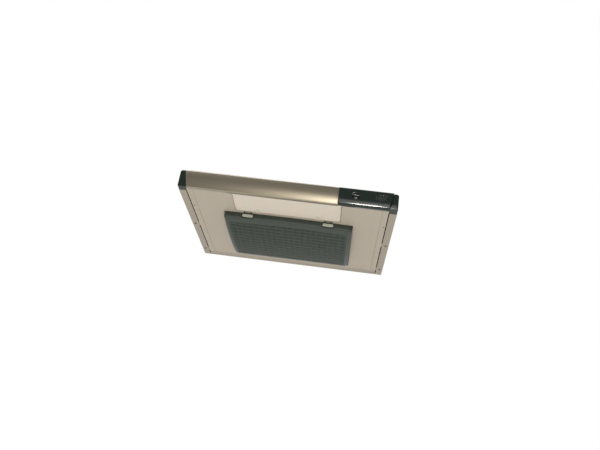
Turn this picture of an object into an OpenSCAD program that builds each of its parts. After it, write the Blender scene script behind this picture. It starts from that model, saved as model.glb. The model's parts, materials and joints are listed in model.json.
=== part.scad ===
// Under-cabinet range hood: a folded canopy with a blower, a hinged grease
// filter tray, a lamp behind a hinged lens, and controls at the front right.
// The origin is the centre of the cabinet screw pattern on the flat top.
// +X runs to the hood's right as seen from the front, +Y to the wall, +Z up.

/* [Canopy] */
// Overall width of the hood
hood_w = 600; // [560:10:760]
// Depth from the fascia to the wall
hood_d = 490; // [470:5:590]
// Height of the body at the wall
hood_h = 130; // [126:1:170]
// Height of the front fascia
fascia_h = 50; // [46:1:60]
// Depth of the flat top, from the wall forwards
top_d = 300; // [290:5:340]
// Thickness of the folded sheet steel
sheet_t = 1; // [0.8:0.1:1.3]
// Width of the flange under each side
rail_w = 20; // [16:1:26]
// Radius of the fascia's bowed front
bow_r = 110; // [90:5:200]
// Thickness of the fascia sheet
fascia_t = 1.2; // [1:0.1:1.5]

/* [End caps and control panel] */
// Width of an end cap at its top edge
cap_top_w = 13; // [11:1:18]
// Width of an end cap at its bottom edge
cap_low_w = 24; // [19:1:28]
// Depth of an end cap, front to back
cap_d = 24; // [20:1:30]
// Radius of an end cap's outer top corner
cap_r = 7; // [4:1:10]
// Wall of the moulded caps and control panel
moulding_t = 2.4; // [1.8:0.1:3]
// Length of the control panel
control_l = 139; // [130:1:170]
// Radius of the control panel's lower front edge
control_r = 8; // [5:1:11]
// Diameter of the speed knob
knob_d = 25; // [22:1:30]
// How far the speed knob stands out
knob_out = 12; // [9:1:16]
// Diameter of the speed switch shaft
knob_shaft_d = 6; // [5:0.5:7]
// Length of the light rocker
rocker_l = 27; // [22:1:32]
// Height of the light rocker
rocker_h = 12; // [10:1:15]
// Turn of the rocker to each side of level
rocker_tilt = 7; // [5:1:9]

/* [Filter tray] */
// Width of the filter tray
tray_w = 372; // [330:2:400]
// Length of the filter tray at its sides
tray_l = 310; // [290:2:320]
// Wall of the filter tray
tray_t = 2.5; // [2:0.1:3]
// How far the tray's front edge bows forwards
tray_bow = 5; // [2:1:8]
// Radius of the tray's rear corners
tray_corner = 20; // [14:1:26]
// Depth of the tray's front wall below the panel
tray_front_drop = 16.5; // [15:0.5:20]
// Extra sag of the tray's floor half way along
tray_sag = 8; // [4:1:12]
// Radius of the tray's rear edge about its hinge
tray_rear_r = 12; // [10:0.5:13]
// Diameter of the tray's hinge pins
tray_pin_d = 4; // [3:0.5:5]
// Thickness of the grease mat
mat_t = 8; // [6:1:9]
// Width of a latch tab
latch_w = 31; // [26:1:36]
// Distance between the two latches
latch_gap = 232; // [200:2:250]
// Travel of a latch
latch_travel = 4.2; // [3.8:0.1:5]

/* [Lamp] */
// Length of the lamp lens
lens_l = 299; // [260:1:310]
// Width of the lamp lens, front to back
lens_w = 98; // [90:1:100]
// Thickness of the lamp lens
lens_t = 2; // [1.6:0.1:2.4]
// Height of the reflector above the panel
reflector_h = 38; // [36:1:40]
// Diameter of a lamp's glass
bulb_d = 25; // [20:1:26]
// Length of a lamp's glass
bulb_l = 66; // [50:1:70]

/* [Blower] */
// Outer diameter of the fan wheel
wheel_d = 150; // [125:1:156]
// Height of the fan blades
blade_h = 50; // [40:1:52]
// Radial depth of a fan blade
blade_depth = 13; // [10:1:14]
// Number of fan blades
blade_n = 32; // [24:2:40]
// Gap between the wheel and the scroll at the tongue
tongue_gap = 9; // [7:1:12]
// Growth of the scroll's radius over its sweep
scroll_growth = 45; // [36:1:50]
// Wall of the moulded scroll
scroll_t = 2; // [1.5:0.1:2.5]
// Radius of the motor
motor_r = 38; // [30:1:40]
// Height of the motor's laminations
stack_h = 28; // [20:1:29]
// Diameter of the motor shaft
shaft_d = 8; // [6:1:10]
// Diameter of the duct collar
spigot_d = 120; // [100:1:125]
// Height of the duct collar above the top
spigot_h = 38; // [32:1:50]
// Wall of the duct collar
spigot_t = 1.5; // [1.2:0.1:2]

/* [Fixings] */
// Side-to-side distance of the cabinet screw holes
screw_x = 500; // [460:10:520]
// Front-to-back distance of the cabinet screw holes
screw_y = 200; // [160:10:240]
// Diameter of the cabinet screw holes
screw_hole_d = 5.5; // [4.5:0.5:7]
// Diameter of the supply cable's bore in its grommet
cable_d = 8; // [6:0.5:10]

/* [Hidden] */
$fn = 64;
fine = 360;                            // segments of long, nearly flat arcs

gap = 0.4;                             // between neighbouring covers
run = 0.05;                            // radial clearance of a turning fit
eps = 0.5;                             // how far a cutting shape runs past a face
half_w = hood_w / 2;
y_back = top_d / 2;
y_front = y_back - hood_d;
z_low = -hood_h;                       // underside of the bottom panel
z_sheet = z_low + sheet_t;             // top face of the bottom panel
z_fascia = z_low + fascia_h;           // top of the fascia
z_mid = z_low + fascia_h / 2;
y_cap = y_front + cap_d;               // rear of the end caps
lip_d = 12;                            // canopy lip that lies on the fascia
y_lip = y_front + 14;                  // where the slope meets that lip
flange_low = 11;                       // fascia's bottom return

// bottom panel
panel_half = half_w - rail_w - 2.8;    // leaves a groove beside each rail
panel_y0 = y_front + flange_low + 0.6;
panel_y1 = y_back - 13;
panel_flange_h = 12;
panel_screw_x = half_w - 9;
panel_screw_ys = [-96, 102];
panel_screw_r = 1.5;
tab_w = 24;

// control panel
control_x0 = half_w - cap_low_w + 2 - control_l;
control_low = z_low + 2;
knob_x = control_x0 + 46;
knob_z = z_low + 0.56 * fascia_h;
knob_r = knob_d / 2;
shaft_r = knob_shaft_d / 2;
y_bracket = y_front + 9;               // front face of the body of the switches
rocker_x = control_x0 + 117;
rocker_z = knob_z + 2;
rocker_y = y_front + 6;                // the rocker's pivot line
rocker_pin_r = 1.2;
switch_wall = 1.4;

// filter tray
tray_y1 = 100;                         // rear of the tray
tray_y0 = tray_y1 - tray_l;
hinge_y = tray_y1 - tray_rear_r;
hinge_z = z_low + 4;
tray_top = z_low + 5;
tray_clear = 0.9;                      // gap round the tray in the panel
opening_corner = 2;                    // the tray swings up into these corners
arc_z0 = z_low - tray_front_drop;
arc_z1 = hinge_z - tray_rear_r + 0.5;
arc_half = (hinge_y - tray_y0 + tray_bow) / 2;
arc_r = (arc_half * arc_half + tray_sag * tray_sag) / (2 * tray_sag);
arc_tilt = atan2(arc_z1 - arc_z0, 2 * arc_half);
arc_y = hinge_y - arc_half - sin(arc_tilt) * (arc_r - tray_sag);
arc_z = (arc_z0 + arc_z1) / 2 + cos(arc_tilt) * (arc_r - tray_sag);
tray_pin_r = tray_pin_d / 2;
tray_pin_l = 4.5;
tray_ear = tray_w / 2 - 4.5;           // outer face of a hinge ear
mat_z = tray_top - 3.4 - mat_t;        // underside of the grease mat
mat_y0 = tray_y0 + 20;
mat_y1 = hinge_y - 16;
wire_r = 1;
wire_z = mat_z + mat_t + wire_r + 0.1;
wire_ys = [-150, -55, 40];

// latches
latch_x = latch_gap / 2;
wall_y = tray_y0 - tray_bow * (1 - pow(latch_x / (tray_w / 2), 2));  // tray wall at a latch
latch_half = latch_w / 2;
latch_out = 2.7;                       // the tab stands this far out
latch_z0 = z_low - 12;
latch_z1 = z_low - 4;
pocket_half = latch_half + 1;
pocket_d = 17;
pocket_z = z_low - 14;
neck_half = 8;
tongue_z = z_sheet + 0.8;              // underside of the latch tongue
keeper_t = 0.5;
keeper_y = wall_y - latch_out - 2.3;   // free end of the keeper leaf
tongue_y = keeper_y - latch_travel + 0.7;
notch_y = tongue_y - 2;                // front edge of the notch in the panel

// lamp
lens_half = lens_l / 2;
lens_y0 = panel_y0 + 0.4;
lens_y1 = lens_y0 + lens_w;
lens_z = z_low - 1;
barrel_r = 3.5;
lens_axis_y = lens_y0 + barrel_r;
lens_axis_z = lens_z + barrel_r;
lens_pin_r = 1.5;
lens_gap = 1.4;
lens_slit_x = 87;
lens_slit_y = lens_y1 - 8;
rim_z = z_low + 4.5;                   // top of the lens's inner rim
reflector_half = lens_half + lens_gap;
reflector_y0 = lens_y0 + 11;
reflector_y1 = lens_y1 + 0.8;
reflector_z = z_sheet + reflector_h;
lamp_y = (reflector_y0 + reflector_y1) / 2;
lamp_z = z_low + 21;
holder_l = 25;
holder_r = 13;
cap_rad = 7;

// duct and scroll
spigot_r = spigot_d / 2;
duct_y = y_back - sheet_t - 4 - spigot_r;
box_t = 1;
box_half = spigot_r + 6;
box_y0 = duct_y - spigot_r - 3;
box_y1 = duct_y + spigot_r + 2;
wheel_r = wheel_d / 2;
tongue_a = 45;                         // where the scroll starts
scroll_r0 = wheel_r + tongue_gap;
scroll_r1 = scroll_r0 + scroll_growth;
mouth_w = 63;                          // width of the scroll's mouth
lug_r = 4;                             // screw lugs outside the scroll's wall
cover_over = 2 * lug_r;                // the cover reaches this far past the wall
fan_x = box_half - 5 - scroll_r1;
fan_y = box_y0 - scroll_r(90) - cover_over - 2;
cover_y = fan_y - scroll_r(270) - cover_over;      // front edge of the cover
scroll_top = min(-29, slope_z(cover_y) - 5);       // top of the scroll's side wall
scroll_low = scroll_top - blade_h - 20;
wheel_z0 = scroll_low + scroll_t + 4;
wheel_z1 = wheel_z0 + blade_h;
inlet_r = wheel_r - blade_depth - 2.5;
lug_as = [75, 130, 185, 240, 300];

// motor, from the bottom up
stack_z1 = scroll_top - 2;
stack_z0 = stack_z1 - stack_h;
coil_h = 5;
bracket_z0 = stack_z0 - coil_h - 3;
bracket_z1 = stack_z1 + coil_h + 5;
shell_t = 1.5;
shaft_rad = shaft_d / 2;
bearing_r = shaft_rad + 4;
bearing_h = 6;
air_gap = 0.5;
rotor_r = motor_r - 14;
cup_r = motor_r + 5;                   // the wheel's cup round the motor
cup_z = bracket_z0 - 3;                // top face of the cup's floor
plate_z = bracket_z1;                  // underside of the motor plate
mount_r = motor_r + 14;

// damper
flap_z = 12;
ear_y = 22;                            // collar screws, to each side of its centre
flap_pin_r = 1.5;
flap_pin_y = 4;
flap_barrel_r = 2.6;
flap_t = 1.5;
spigot_in = spigot_r - spigot_t;
flap_r = spigot_in - 1.1;
flap_barrel_half = spigot_in - 8;
ledge_z = flap_z - flap_t / 2 - 0.35;

// electrics
terminal = [160, 50, -36];             // low left front corner of the terminal box
terminal_s = [58, 70, 34];
cable_x = half_w - 60;
cable_y = y_back - 22;
can_r = 15;
can_l = 55;
can_at = [95, -70, -sheet_t - can_r - 1.5];
loom_r = 2.5;
motor_lead = [[159, 70, -20], [140, 70, -18], [110, 58, -10], [84, 12, -9], [50, -32, -9],
  [4, -54, -9], [-20, -64, -9], [-36, -72, -12]];
switch_lead = [[200, 49, -20], [200, 30, -20], [215, -10, -14], [232, -70, -12], [238, -140, -14],
  [236, -190, -36], [232, -240, -64], [228, -280, -90], [222, -300, -104], [206, -303, -108]];

// scroll radius at an angle, growing evenly from the tongue
function scroll_r(a) = scroll_r0 + scroll_growth * (a - tongue_a) / (360 - tongue_a);
function polar(r, a) = [r * cos(a), r * sin(a)];
function arc(c, r, a0, a1, n) = [for (i = [0 : n]) c + polar(r, a0 + (a1 - a0) * i / n)];
function flip(p) = [for (i = [len(p) - 1 : -1 : 0]) [-p[i][0], p[i][1]]];
// height of the canopy's slope above a point at depth y
function slope_z(y) = (z_fascia + sheet_t) * (y + top_d / 2) / (y_lip + top_d / 2);

module along_x(x0, x1) translate([x0, 0, 0]) rotate([90, 0, 90]) linear_extrude(x1 - x0) children();
module along_y(y0, y1) translate([0, y1, 0]) rotate([90, 0, 0]) linear_extrude(y1 - y0) children();
module block(a, b) translate(a) cube(b - a);
module rod_x(x0, x1, y, z, r) translate([x0, y, z]) rotate([0, 90, 0]) cylinder(r = r, h = x1 - x0);
module rod_y(y0, y1, x, z, r) translate([x, y1, z]) rotate([90, 0, 0]) cylinder(r = r, h = y1 - y0);
module rod_z(z0, z1, x, y, r) translate([x, y, z0]) cylinder(r = r, h = z1 - z0);
module both_sides() { children(); mirror([1, 0, 0]) children(); }

// The bowed front as a solid, moved in by inset, back to y_end.
module front_solid(x0, x1, inset, y_end, low = z_low) {
  intersection() {
    block([x0, y_front, low + inset], [x1, y_end, z_fascia - inset]);
    translate([x0, y_front + bow_r, z_mid]) rotate([0, 90, 0])
      cylinder(r = bow_r - inset, h = x1 - x0, $fn = fine);
  }
}

// Right end of the fascia line seen from the front: a slanted joint with the cap.
function cap_edge(z, inset) =
  half_w - cap_top_w + inset - (cap_low_w - cap_top_w) * (z_fascia - z) / fascia_h;

// Front view of the right end cap.
module cap_outline(inset) {
  top = z_fascia - inset;
  low = z_low + inset;
  r = cap_r - inset;
  polygon(concat([[cap_edge(low, inset), low], [half_w - inset, low]],
    arc([half_w - cap_r, z_fascia - cap_r], r, 0, 90, 8), [[cap_edge(top, inset), top]]));
}

// Front view of what lies between the slanted ends of the two caps.
module between_caps(x0, x1) {
  polygon([[max(x0, -cap_edge(z_low, -gap)), z_low], [min(x1, cap_edge(z_low, -gap)), z_low],
    [min(x1, cap_edge(z_fascia, -gap)), z_fascia], [max(x0, -cap_edge(z_fascia, -gap)), z_fascia]]);
}

// ---- canopy -------------------------------------------------------------

module canopy_sheet() {
  half = half_w - sheet_t;
  t = sheet_t;
  k = t * 1.1;
  color("#b6ad9b") difference() {
    union() {
      along_x(-half, half) polygon([[y_back - 12, z_low], [y_back, z_low], [y_back, 0],
        [-top_d / 2, 0], [y_lip, z_fascia + t], [y_lip + 1, z_fascia], [-top_d / 2 + k / 2, -t],
        [y_back - t, -t], [y_back - t, z_low + t], [y_back - 12, z_low + t]]);
      block([-half_w + cap_low_w + 2, y_lip - lip_d, z_fascia],
        [half_w - cap_low_w - 2, y_lip + 1, z_fascia + t]);
    }
    rod_z(-t - eps, eps, 0, duct_y, spigot_r);
    rod_z(-t - eps, eps, cable_x, cable_y, cable_d / 2 + 3);
    for (x = [-1, 1], y = [-1, 1])
      rod_z(-t - eps, eps, x * screw_x / 2, y * screw_y / 2, screw_hole_d / 2);
  }
}

module side_panel() {
  t = sheet_t;
  difference() {
    union() {
      along_x(half_w - t, half_w) polygon([[y_cap + gap, z_low], [y_back, z_low], [y_back, 0],
        [-top_d / 2, 0], [y_cap + gap, slope_z(y_cap + gap)]]);
      block([half_w - rail_w, y_cap + gap, z_low], [half_w - t / 2, y_back - 12.4, z_sheet]);
    }
    for (y = panel_screw_ys) rod_z(z_low - eps, z_sheet + eps, panel_screw_x, y, panel_screw_r);
  }
}
module side_panel_left() color("#b6ad9b") mirror([1, 0, 0]) side_panel();
module side_panel_right() color("#b6ad9b") side_panel();

module fascia() {
  color("#a99d80") intersection() {
    difference() {
      front_solid(-half_w, half_w, 0, y_lip);
      front_solid(-half_w - eps, half_w + eps, fascia_t, y_lip + eps);
      block([-half_w, y_front + flange_low, z_low - eps], [half_w, y_lip + eps, z_mid]);
    }
    along_y(y_front - eps, y_lip + eps) between_caps(-half_w, control_x0 - gap);
  }
}

module end_cap() {
  difference() {
    intersection() {
      front_solid(half_w - 40, half_w, 0, y_cap);
      along_y(y_front - eps, y_cap + eps) cap_outline(0);
    }
    intersection() {
      front_solid(half_w - 40, half_w, moulding_t, y_cap + eps);
      along_y(y_front - eps, y_cap + 2 * eps) cap_outline(moulding_t);
    }
    block([half_w - 40, y_front + 12, z_sheet], [half_w - moulding_t, y_cap + eps, z_fascia - 4]);
    block([half_w - 40, panel_y0 - gap, z_low - eps], [panel_half + gap, y_cap + eps, z_sheet + eps]);
  }
}
module end_cap_left() color("#26302d") mirror([1, 0, 0]) end_cap();
module end_cap_right() color("#26302d") end_cap();

// ---- controls -----------------------------------------------------------

// The control panel's solid: bowed front and a rounded lower edge.
module control_solid(inset, y_end) {
  r = control_r - inset;
  x1 = half_w;
  intersection() {
    front_solid(control_x0, x1, inset, y_end, control_low);
    union() {
      block([control_x0, y_front, control_low + control_r], [x1, y_end, z_fascia]);
      block([control_x0, y_front + control_r + 1, control_low], [x1, y_end, z_fascia]);
      rod_x(control_x0, x1, y_front + control_r + 1, control_low + control_r, r);
    }
  }
}

module control_panel() {
  color("#1d2623") intersection() {
    difference() {
      control_solid(0, y_lip);
      control_solid(moulding_t, y_lip + eps);
      block([control_x0 + moulding_t, y_front + flange_low - 2, z_low - eps],
        [half_w, y_lip + eps, z_fascia - moulding_t]);
      block([control_x0 - eps, y_front + flange_low - 2, z_low],
        [reflector_half + 2, y_lip + eps, z_low + panel_flange_h]);
      rod_y(y_front - eps, y_front + 8, knob_x, knob_z, shaft_r + 2);
      block([rocker_x - rocker_l / 2 - switch_wall - 0.6, y_front - eps, rocker_z - rocker_h / 2
        - switch_wall - 0.2], [rocker_x + rocker_l / 2 + switch_wall + 0.6, y_front + 8,
        rocker_z + rocker_h / 2 + switch_wall + 0.2]);
    }
    along_y(y_front - eps, y_lip + eps) between_caps(control_x0, half_w);
  }
}

module switch_bracket() {
  x0 = control_x0 + 6;
  x1 = cap_edge(z_low, -gap) - 6;
  color("#9a9a95") difference() {
    union() {
      block([x0, y_bracket - 1.2, knob_z - 18], [x1, y_bracket, knob_z + 17]);
      block([x0, y_bracket - 1.2, knob_z + 15.8], [x1, y_bracket + 12, knob_z + 17]);
    }
    rod_y(y_bracket - 2, y_bracket + 1, knob_x, knob_z, shaft_r + 1.5);
    block([rocker_x - rocker_l / 2 - 2, y_bracket - 2, rocker_z - rocker_h / 2 - 2],
      [rocker_x + rocker_l / 2 + 2, y_bracket + 1, rocker_z + rocker_h / 2 + 2]);
  }
}

module speed_switch() {
  color("#3b3f42") difference() {
    union() {
      block([knob_x - 12, y_bracket, knob_z - 12], [knob_x + 12, y_bracket + 17, knob_z + 12]);
      rod_y(y_bracket - 6, y_bracket + 1, knob_x, knob_z, shaft_r + 1.5);
      for (x = [-7, 0, 7])
        block([knob_x + x - 2.4, y_bracket + 16, knob_z - 0.4],
          [knob_x + x + 2.4, y_bracket + 24, knob_z + 0.4]);
    }
    rod_y(y_bracket - 7, y_bracket + 14, knob_x, knob_z, shaft_r + run);
  }
}

module switch_nut() {
  color("#c9c9c4") difference() {
    translate([knob_x, y_bracket - 1.2, knob_z]) rotate([90, 0, 0])
      cylinder(r = shaft_r + 5, h = 2.2, $fn = 6);
    rod_y(y_bracket - 4, y_bracket, knob_x, knob_z, shaft_r + 1.5);
  }
}

module knob_shaft() {
  color("#d6d2c4") rod_y(y_front - knob_out + 4, y_bracket + 13, knob_x, knob_z, shaft_r);
}

module speed_knob() {
  color("#15191a") difference() {
    union() {
      rod_y(y_front - 3.2, y_front - 0.6, knob_x, knob_z, knob_r);
      rod_y(y_front - 5.5, y_front - 3, knob_x, knob_z, knob_r - 1.5);
      block([knob_x - knob_r + 0.8, y_front - knob_out, knob_z - 3],
        [knob_x + knob_r - 0.8, y_front - 3, knob_z + 3]);
    }
    rod_y(y_front - knob_out + 4, y_front, knob_x, knob_z, shaft_r);
    block([knob_x - knob_r, y_front - knob_out - eps, knob_z - 0.6],
      [knob_x - knob_r + 7, y_front - knob_out + 0.6, knob_z + 0.6]);
  }
}

module light_switch() {
  l = rocker_l / 2 + 0.4;
  h = rocker_h / 2 + 0.3;
  w = switch_wall;
  color("#202626") difference() {
    union() {
      block([rocker_x - l - w + 0.2, y_front + 0.4, rocker_z - h - w + 0.2],
        [rocker_x + l + w - 0.2, y_front + 24, rocker_z + h + w - 0.2]);
      for (x = [-8, 8])
        block([rocker_x + x - 0.4, y_front + 23, rocker_z - 2.4],
          [rocker_x + x + 0.4, y_front + 31, rocker_z + 2.4]);
    }
    block([rocker_x - l, y_front - eps, rocker_z - h],
      [rocker_x + l, y_front + 15, rocker_z + h]);
    rod_z(rocker_z - h - 0.8, rocker_z + h + 0.8, rocker_x, rocker_y, rocker_pin_r + run);
  }
}

module light_rocker() {
  l = rocker_l / 2;
  color("#2c3432") translate([rocker_x, rocker_y, rocker_z]) rotate([0, 0, -rocker_tilt]) union() {
    intersection() {
      difference() {
        block([-l, -7.4, -rocker_h / 2], [l, 3, rocker_h / 2]);
        translate([0, -7.4 - 45, -rocker_h]) cylinder(r = 46, h = 2 * rocker_h, $fn = fine);
      }
      cylinder(r = l, h = 2 * rocker_h, center = true, $fn = 128);
    }
    cylinder(r = rocker_pin_r, h = rocker_h + 1.6, center = true);
  }
}

// ---- bottom panel -------------------------------------------------------

// Plan of the tray, grown by extra: bowed front edge and round rear corners.
module tray_plan(extra, corner = tray_corner) {
  w = tray_w / 2 + extra;
  r = corner + extra;
  cx = tray_w / 2 - corner;
  cy = tray_y1 - corner;
  front = [for (i = [-10 : 10]) let (u = i / 10)
    [u * w, tray_y0 - extra - tray_bow * (1 - u * u)]];
  polygon(concat(front, arc([cx, cy], r, 0, 90, 8), flip(arc([cx, cy], r, 0, 90, 8))));
}

module bottom_panel() {
  t = sheet_t;
  color("#b6ad9b") difference() {
    union() {
      block([-panel_half, panel_y0, z_low], [panel_half, panel_y1, z_sheet]);
      both_sides() {
        block([panel_half - t, panel_y0, z_low], [panel_half, panel_y1, z_low + panel_flange_h]);
        for (y = panel_screw_ys)
          block([panel_half - t / 2, y - tab_w / 2, z_sheet], [half_w - 3, y + tab_w / 2, z_sheet + t]);
        // pressed beads beside and behind the tray
        translate([panel_half - 15.5, -192, z_low + 1.2]) rotate([-90, 0, 0])
          cylinder(r = 2, h = 292);
      }
      rod_x(-panel_half + 8, panel_half - 8, tray_y1 + 14, z_low + 1.6, 2.4);
    }
    translate([0, 0, z_low - 2]) linear_extrude(8) tray_plan(tray_clear, opening_corner);
    block([-lens_half - lens_gap, panel_y0 - 1, z_low - 2], [lens_half + lens_gap, lens_y1 + 1.2, z_low + 6]);
    both_sides() {
      block([latch_x - 12, notch_y, z_low - 2], [latch_x + 12, wall_y + 4, z_low + 6]);
      for (y = panel_screw_ys) rod_z(z_low - eps, z_low + 4, panel_screw_x, y, panel_screw_r);
      rod_z(z_low - eps, z_low + 4, panel_half - 5, -225, 1.5);
    }
  }
}

module panel_screws() {
  color("#6f685c") both_sides() for (y = panel_screw_ys) {
    rod_z(z_low - 1.4, z_low, panel_screw_x, y, 3.4);
    rod_z(z_low - 0.2, z_low + 8, panel_screw_x, y, panel_screw_r);
  }
}

module panel_rivets() {
  color("#8e8676") both_sides() {
    rod_z(z_low - 0.6, z_low, panel_half - 5, -225, 2.4);
    rod_z(z_low - 0.1, z_sheet + 0.8, panel_half - 5, -225, 1.5);
  }
}

// ---- filter tray --------------------------------------------------------

module hinge_brackets() {
  x = tray_w / 2 + tray_clear + 0.3;
  color("#9d998f") both_sides() difference() {
    union() {
      block([x, hinge_y - 8, z_sheet], [x + 2, hinge_y + 8, hinge_z + 7]);
      block([x, hinge_y - 8, z_sheet], [x + 15, hinge_y + 8, z_sheet + 0.8]);
    }
    rod_x(x - 1, x + 3, hinge_y, hinge_z, tray_pin_r + run);
  }
}

// Everything the tray's walls enclose, moved in by inset.
module tray_solid(inset) {
  w = tray_w / 2 + 1;
  intersection() {
    translate([0, 0, z_low - 40]) linear_extrude(40 + tray_top - z_low + (inset > 0 ? eps : 0))
      tray_plan(-inset);
    union() {
      intersection() {
        block([-w, tray_y0 - tray_bow - 1, z_low - 40], [w, hinge_y, tray_top + eps]);
        translate([-w, arc_y, arc_z]) rotate([0, 90, 0])
          cylinder(r = arc_r - inset, h = 2 * w, $fn = 3 * fine);
      }
      intersection() {
        rod_x(-w, w, hinge_y, hinge_z, tray_rear_r - inset);
        block([-w, hinge_y - 4, hinge_z - 20], [w, hinge_y + 20, hinge_z]);
      }
      block([-w, hinge_y - 4, hinge_z - eps], [w, hinge_y + tray_rear_r - inset, tray_top + eps]);
    }
  }
}

module filter_tray() {
  slot = [7, 50];
  pitch = [12, 56];
  nx = floor((tray_w / 2 - 16) / pitch[0]);
  color("#3f4743") difference() {
    union() {
      difference() {
        tray_solid(0);
        tray_solid(tray_t);
        for (i = [-nx : nx], j = [0 : 4])
          block([i * pitch[0] - slot[0] / 2, tray_y0 + 32 + j * pitch[1] - 6, z_low - 40],
            [i * pitch[0] + slot[0] / 2, tray_y0 + 26 + j * pitch[1] + slot[1], z_low - 9]);
      }
      intersection() {
        tray_solid(1);
        for (x = [-90, 6, 90]) block([x - 1, mat_y0, z_low - 30], [x + 1, mat_y1, mat_z]);
      }
      both_sides() {
        block([latch_x - pocket_half - 1.5, wall_y + 0.6, pocket_z - 1.5],
          [latch_x + pocket_half + 1.5, wall_y + pocket_d + 1.5, tray_top - 3]);
        rod_x(tray_ear - 4, tray_ear, hinge_y, hinge_z, 5);
        rod_x(tray_ear - 1, tray_w / 2 + tray_pin_l, hinge_y, hinge_z, tray_pin_r);
      }
    }
    both_sides() {
      block([latch_x - pocket_half, wall_y - tray_bow, pocket_z],
        [latch_x + pocket_half, wall_y + pocket_d, tray_top + eps]);
      for (y = wire_ys) rod_x(0, tray_w / 2 - 0.8, y, wire_z, wire_r);
    }
  }
}

module grease_mat() {
  w = tray_w / 2 - tray_t - 4;
  color("#8b8d86") block([-w, mat_y0, mat_z], [w, mat_y1, mat_z + mat_t]);
}

module mat_wires() {
  color("#b9bab6") for (y = wire_ys)
    rod_x(-tray_w / 2 + 0.8, tray_w / 2 - 0.8, y, wire_z, wire_r);
}

module latch() {
  y = wall_y;
  color("#c6c8b9") translate([latch_x, 0, 0]) union() {
    block([-latch_half, y - latch_out, latch_z0], [latch_half, y, latch_z1]);
    block([-pocket_half + 0.3, y - 0.2, pocket_z + 0.3], [pocket_half - 0.3, y + 7, latch_z1 - 2]);
    block([-neck_half, y - latch_out, latch_z1 - 3], [neck_half, y + 1.5, tongue_z + 1.4]);
    block([-neck_half, tongue_y, tongue_z], [neck_half, y, tongue_z + 1.4]);
  }
}
module latch_left() mirror([1, 0, 0]) latch();
module latch_right() latch();

// A tube of radius r swept along points, each ring square to the path there.
function unit(v) = v / norm(v);
function tangent(p, i) = unit(p[min(i + 1, len(p) - 1)] - p[max(i - 1, 0)]);
function side_of(t) = unit(cross(t, abs(t[2]) < 0.9 ? [0, 0, 1] : [1, 0, 0]));
module tube(path, r, sides) {
  n = len(path);
  rings = [for (i = [0 : n - 1]) let (t = tangent(path, i), u = side_of(t), v = cross(t, u))
    for (k = [0 : sides - 1]) path[i] + r * (cos(360 * k / sides) * u + sin(360 * k / sides) * v)];
  walls = [for (i = [0 : n - 2], k = [0 : sides - 1], up = [0, 1])
    let (a = i * sides + k, b = i * sides + (k + 1) % sides)
    up ? [a, a + sides, b + sides] : [a, b + sides, b]];
  polyhedron(rings, concat(walls, [[for (k = [0 : sides - 1]) k],
    [for (k = [sides - 1 : -1 : 0]) (n - 1) * sides + k]]), convexity = 8);
}

// A strip folded to and fro between the latch and the back of its pocket.
module latch_spring() {
  half = 6;
  t = 0.6;
  legs = 4;
  y0 = wall_y + 7.2;
  pitch = (wall_y + pocket_d - 0.2 - t - y0) / (legs - 1);
  z = (pocket_z + latch_z1 - 2) / 2;
  color("#c8cac8") translate([latch_x, y0, z]) union() {
    for (i = [0 : legs - 1]) block([-half, i * pitch, -1.5], [half, i * pitch + t, 1.5]);
    for (i = [0 : legs - 2]) let (side = i % 2 == 0 ? half - t : -half)
      block([side, i * pitch, -1.5], [side + t, (i + 1) * pitch + t, 1.5]);
  }
}
module latch_spring_left() mirror([1, 0, 0]) latch_spring();
module latch_spring_right() latch_spring();

module latch_keepers() {
  color("#b9bab6") both_sides() block([latch_x - 10, lens_y1 + 1.6, z_sheet],
    [latch_x + 10, keeper_y, z_sheet + keeper_t]);
}

// ---- lamp ---------------------------------------------------------------

module lens_brackets() {
  x = lens_half + lens_gap + 0.4;
  color("#9d998f") both_sides() difference() {
    union() {
      block([x, lens_y0, z_sheet], [x + 1.5, lens_y0 + 9.5, lens_axis_z + 4]);
      block([x, lens_y0, z_sheet], [x + 10, lens_y0 + 9.5, z_sheet + 0.8]);
    }
    rod_x(x - 1, x + 2, lens_axis_y, lens_axis_z, lens_pin_r + run);
  }
}

module lamp_lens() {
  h = lens_half;
  inner = h - 7.5;
  color("#e6dfcd") difference() {
    union() {
      block([-h, lens_axis_y, lens_z], [h, lens_y1, lens_z + lens_t]);
      intersection() {
        rod_x(-h, h, lens_axis_y, lens_axis_z, barrel_r);
        block([-h, lens_y0 - 1, lens_z - 1], [h, lens_axis_y + 1.2, lens_axis_z + barrel_r]);
      }
      block([-inner, lens_y0 + 11, lens_z], [inner, lens_y1 - 2, rim_z]);
      for (x = [-1, 1]) {
        block([x * lens_slit_x - 5, lens_y1 - 1, lens_z], [x * lens_slit_x + 5, lens_y1 + 3.6, z_low - 0.3]);
        rod_x(x * (h + 1.1) - 2.1, x * (h + 1.1) + 2.1, lens_axis_y, lens_axis_z, lens_pin_r);
      }
    }
    block([-inner + 2, lens_y0 + 13, lens_z + lens_t], [inner - 2, lens_y1 - 4, rim_z + 1]);
    for (x = [-1, 1])
      block([x * lens_slit_x - 5, lens_slit_y - 1, lens_z - 1],
        [x * lens_slit_x + 5, lens_slit_y + 1, rim_z + 1]);
  }
}

module lamp_reflector() {
  t = 0.8;
  h = reflector_half;
  color("#dcdcd6") difference() {
    union() {
      block([-h - t, reflector_y0, z_sheet], [h + t, reflector_y1, reflector_z]);
      both_sides() block([h, reflector_y0, z_sheet], [h + 12, reflector_y1 - 4, z_sheet + t]);
    }
    block([-h, reflector_y0 + t, z_sheet - 1], [h, reflector_y1 - t, reflector_z - t]);
    block([-h, reflector_y0 - 1, z_sheet - 1], [h, reflector_y1 + 1, rim_z + 1.5]);
  }
}

module lamp_holders() {
  h = reflector_half;
  color("#e9e6da") both_sides() difference() {
    rod_x(h - holder_l, h, lamp_y, lamp_z, holder_r);
    rod_x(h - holder_l - 1, h - 4, lamp_y, lamp_z, cap_rad);
  }
}

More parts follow.
